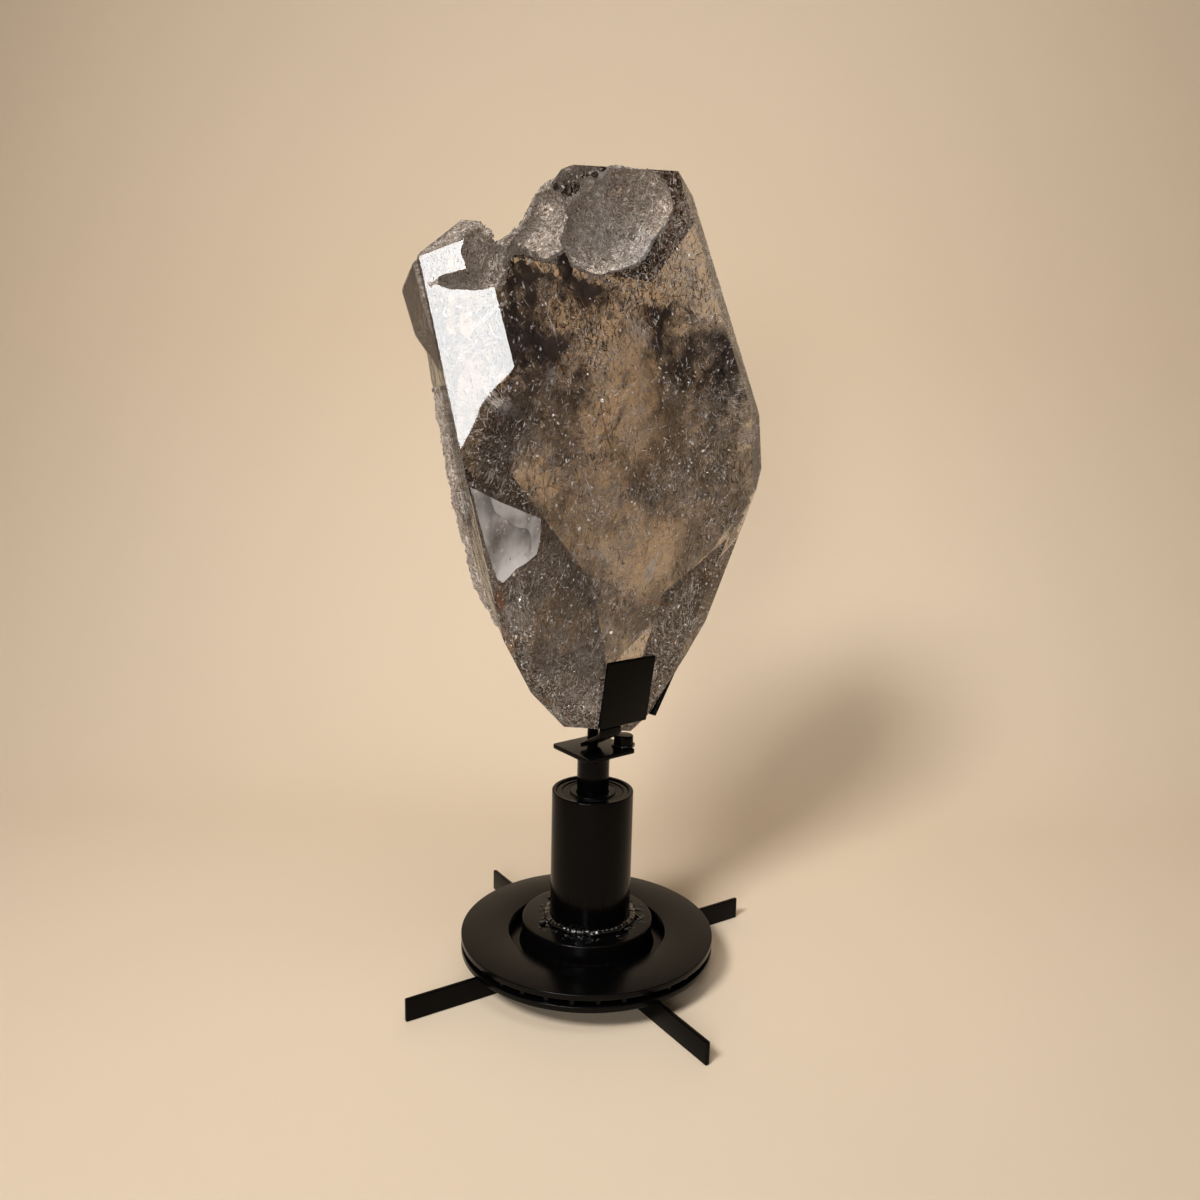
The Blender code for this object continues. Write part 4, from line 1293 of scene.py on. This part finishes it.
smokeRows = [    # depth behind the front, turned from the facet, size, curl, strength, pattern
    ("smokeNear", (620, 430), 0.020, (0.05, 0.05, 0.05), 0.42, 0.008, 0.68, 0.0),
    ("smokeMiddle", (610, 420), 0.055, (-0.15, 0.10, -0.05), 0.44, 0.020, 0.70, 4.1),
]
smokeTone = (0.026, 0.014, 0.013)
lobeSmoke = ("smokeLobe", (414, 300), 0.005, (0.0, 0.0, 0.0), 0.12, 0.002, 2.6, 6.0)
headSmoke = ("smokeHead", (548, 215), 0.006, (0.0, 0.0, 0.0), 0.10, 0.004, 0.9, 2.0)


stainLook = {
    "rustStain": {"spot": (497, 604), "depth": 0.0025, "size": 0.050, "reach": (0.004, 0.020), "stretch": (2.4, 1.2, 0.75),
                  "tones": ((0.10, 0.022, 0.006), (0.46, 0.13, 0.030)), "cover": 0.95, "margin": 0.0008},
    "palePatch": {"spot": (687, 646), "depth": 0.0022, "size": 0.040, "reach": (0.004, 0.015), "stretch": (1.3, 1.0, 0.8),
                  "tones": ((0.34, 0.27, 0.18), (0.90, 0.80, 0.62)), "cover": 0.85, "margin": 0.0006},
    "warmPatch": {"spot": (470, 262), "depth": 0.0030, "size": 0.044, "reach": (0.006, 0.018), "stretch": (1.0, 1.0, 0.9),
                  "tones": ((0.10, 0.050, 0.025), (0.50, 0.27, 0.15)), "cover": 0.8, "margin": 0.0006},
}


def addStains():
    for name, row in stainLook.items():
        middle = seenAt(*row["spot"], row["depth"])
        finish = Finish(name)
        grain = finish.noise(160.0, 5.0, 1.4, None, 0.65)
        close = nearness(finish, middle, *row["reach"], row["stretch"], warpedPlace(finish, 0.012))
        finish.shader({
            "Base Color": finish.mix(grain.above(0.35, 0.65), *row["tones"]),
            "Roughness": 0.45,
            "Alpha": close * grain.above(0.30, 0.55) * row["cover"],
        })
        veilSheet(name, middle, facetAt(row["spot"]), row["size"], 0.0008, 1.0, finish.material, row["margin"], 40)


windowNames = ("goldenWindow", "beigeWindow", "leftWindow")


def addSmoke():
    for name, spot, depth, tip, size, curl, strength, pattern in (*smokeRows, lobeSmoke, headSmoke):
        openings = [(seenAt(x, y, depth), (wide * 0.00110, high * 0.00115), 0.85)
                    for place, (x, y, wide, high) in clearings.items() if place in windowNames]
        smoke = smokeFinish(name + "Tone", smokeTone, strength, pattern, openings)
        veilSheet(name, seenAt(*spot, depth), facetAt(spot) + Vector(tip), size, curl, pattern, smoke, 0.0012, 56, 0.003)


needleLook = {"count": 150, "seed": 77, "length": (0.015, 0.055), "radius": 0.00036, "bow": 0.04}
needleSpots = {    # rutile needles that the photograph shows: from, to, depth
    "upper": ((580, 297), (593, 320), 0.006), "upperRight": ((641, 290), (660, 349), 0.009),
    "lowThin": ((620, 602), (636, 588), 0.004), "lowRight": ((643, 601), (672, 605), 0.006),
    "steep": ((601, 402), (612, 452), 0.012), "slant": ((553, 352), (572, 384), 0.010),
}


def needleMesh(rows):
    shape = bmesh.new()
    for start, finish, radius, bow in rows:
        start, finish = Vector(start), Vector(finish)
        side = (finish - start).orthogonal().normalized()
        path = [start.lerp(finish, t) + side * bow * (finish - start).length * math.sin(math.pi * t)
                for t in (0.0, 0.25, 0.5, 0.75, 1.0)]
        one = tubeShape(path, [radius * w for w in (0.35, 0.9, 1.0, 0.8, 0.3)], 5)
        mesh = bpy.data.meshes.new("oneNeedle")
        one.to_mesh(mesh)
        one.free()
        shape.from_mesh(mesh)
        bpy.data.meshes.remove(mesh)
    mesh = bpy.data.meshes.new("rutileNeedles")
    shape.to_mesh(mesh)
    shape.free()
    return mesh


def needleRows():
    rng = random.Random(needleLook["seed"])
    rows = []
    for (x0, y0), (x1, y1), depth in needleSpots.values():
        rows.append((seenAt(x0, y0, depth), seenAt(x1, y1, depth * 1.4), 0.00055, needleLook["bow"]))
    while len(rows) < needleLook["count"]:
        start = Vector(rng.uniform(quartzLow[k], quartzHigh[k]) for k in range(3))
        if insideDepth(start) < 0.003:
            continue
        lean = Vector((rng.gauss(0.0, 0.8), rng.gauss(0.0, 0.8), rng.gauss(0.0, 1.0))).normalized()
        finish = start + lean * rng.uniform(*needleLook["length"])
        if insideDepth(finish) > 0.003 and insideDepth(start.lerp(finish, 0.5)) > 0.003:
            rows.append((start, finish, needleLook["radius"] * rng.uniform(0.5, 1.3), rng.uniform(-0.03, 0.03)))
    return rows


rutile = fibreFinish("rutile", (0.20, 0.050, 0.010), (0.60, 0.24, 0.060), 0.22, 0.3, 0.05)


def addNeedles():
    settled(newPiece("rutileNeedles", needleMesh(needleRows()), rutile), "holder", "quartz")


addNeedles()
smoothVeil()
addFibres()
print("  fibres done")
addFlakes()
addVeils()
addStains()
addSmoke()


print("stage 9: studio")
studioLook = {"floor": (0.86, 0.70, 0.52), "sweepBack": 1.15, "sweepRise": 2.6, "bend": 0.75}


def studioSweep():
    # Floor and wall in one curved sheet.
    outline = [(-3.2, 0.0)]
    bend, back = studioLook["bend"], studioLook["sweepBack"]
    for i in range(17):
        angle = math.radians(90.0 * i / 16)
        outline.append((back - bend + bend * math.sin(angle), bend - bend * math.cos(angle)))
    outline.append((back, studioLook["sweepRise"]))
    verts, faces = [], []
    for y, z in outline:
        verts += [(-3.2, y, z), (3.2, y, z)]
    for i in range(len(outline) - 1):
        faces.append((2 * i, 2 * i + 1, 2 * i + 3, 2 * i + 2))
    mesh = bpy.data.meshes.new("studioSweep")
    mesh.from_pydata(verts, [], faces)
    finish = Finish("sweepPaper")
    mottle = finish.noise(1.6, 3.0)
    tone = studioLook["floor"]
    finish.shader({
        "Base Color": finish.mix(mottle, tuple(0.96 * c for c in tone), tone),
        "Roughness": 0.85,
        "Specular IOR Level": 0.15,
        "Normal": finish.bump(finish.noise(500.0, 2.0), 0.05, 0.001),
    })
    sweep = newPiece("studioSweep", mesh, finish.material)
    mesh.shade_smooth()
    return sweep


def areaLight(name, place, target, size, power, roll=0.0):
    light = bpy.data.lights.new(name, "AREA")
    light.shape = "RECTANGLE"
    light.size, light.size_y = size
    light.energy = power
    holder = bpy.data.objects.new(name, light)
    bpy.context.scene.collection.objects.link(holder)
    aim = Vector(target) - Vector(place)
    turn = aim.to_track_quat("-Z", "Y").to_matrix().to_4x4() @ Matrix.Rotation(math.radians(roll), 4, "Z")
    holder.matrix_world = Matrix.Translation(place) @ turn
    return holder


def photoCamera():
    data = bpy.data.cameras.new("photoCamera")
    data.lens = photoView["lens"]
    data.sensor_width = photoView["sensor"]
    data.clip_start = 0.01
    camera = bpy.data.objects.new("photoCamera", data)
    bpy.context.scene.collection.objects.link(camera)
    turn = Matrix((viewRight, viewUp, -viewAhead)).transposed().to_4x4()
    camera.matrix_world = Matrix.Translation(photoView["place"]) @ turn
    bpy.context.scene.camera = camera
    return camera


studioSweep()
photoCamera()
lightLook = {
    "window": {"place": (-0.540, -2.51, 1.098), "target": (-0.145, -0.158, 0.668), "size": (0.66, 0.55),
               "power": 19.5, "spread": 180.0, "roll": 55.6},
    "key": {"place": (-1.35, -2.15, 2.65), "target": (0.12, 0.05, 0.30), "size": (0.8, 0.8), "power": 16.0,
            "spread": 75.0, "roll": 0.0},
    "fill": {"place": (0.20, -0.6, 2.6), "target": (0.1, 0.9, 0.7), "size": (1.4, 1.2), "power": 5.0,
             "spread": 100.0, "roll": 0.0},
}
for name, row in lightLook.items():
    lamp = areaLight(name + "Softbox", row["place"], row["target"], row["size"], row["power"], row["roll"])
    lamp.data.spread = math.radians(row["spread"])
world = bpy.data.worlds.new("studioAir")
world.use_nodes = True
world.node_tree.nodes["Background"].inputs["Color"].default_value = (0.95, 0.82, 0.68, 1.0)
world.node_tree.nodes["Background"].inputs["Strength"].default_value = 0.08
bpy.context.scene.world = world
bpy.context.scene.view_settings.view_transform = "Standard"
cycles = bpy.context.scene.cycles
cycles.use_denoising = True
cycles.max_bounces = 10
cycles.transmission_bounces = 8
cycles.transparent_max_bounces = 24
cycles.sample_clamp_indirect = 6.0
cycles.adaptive_threshold = 0.05
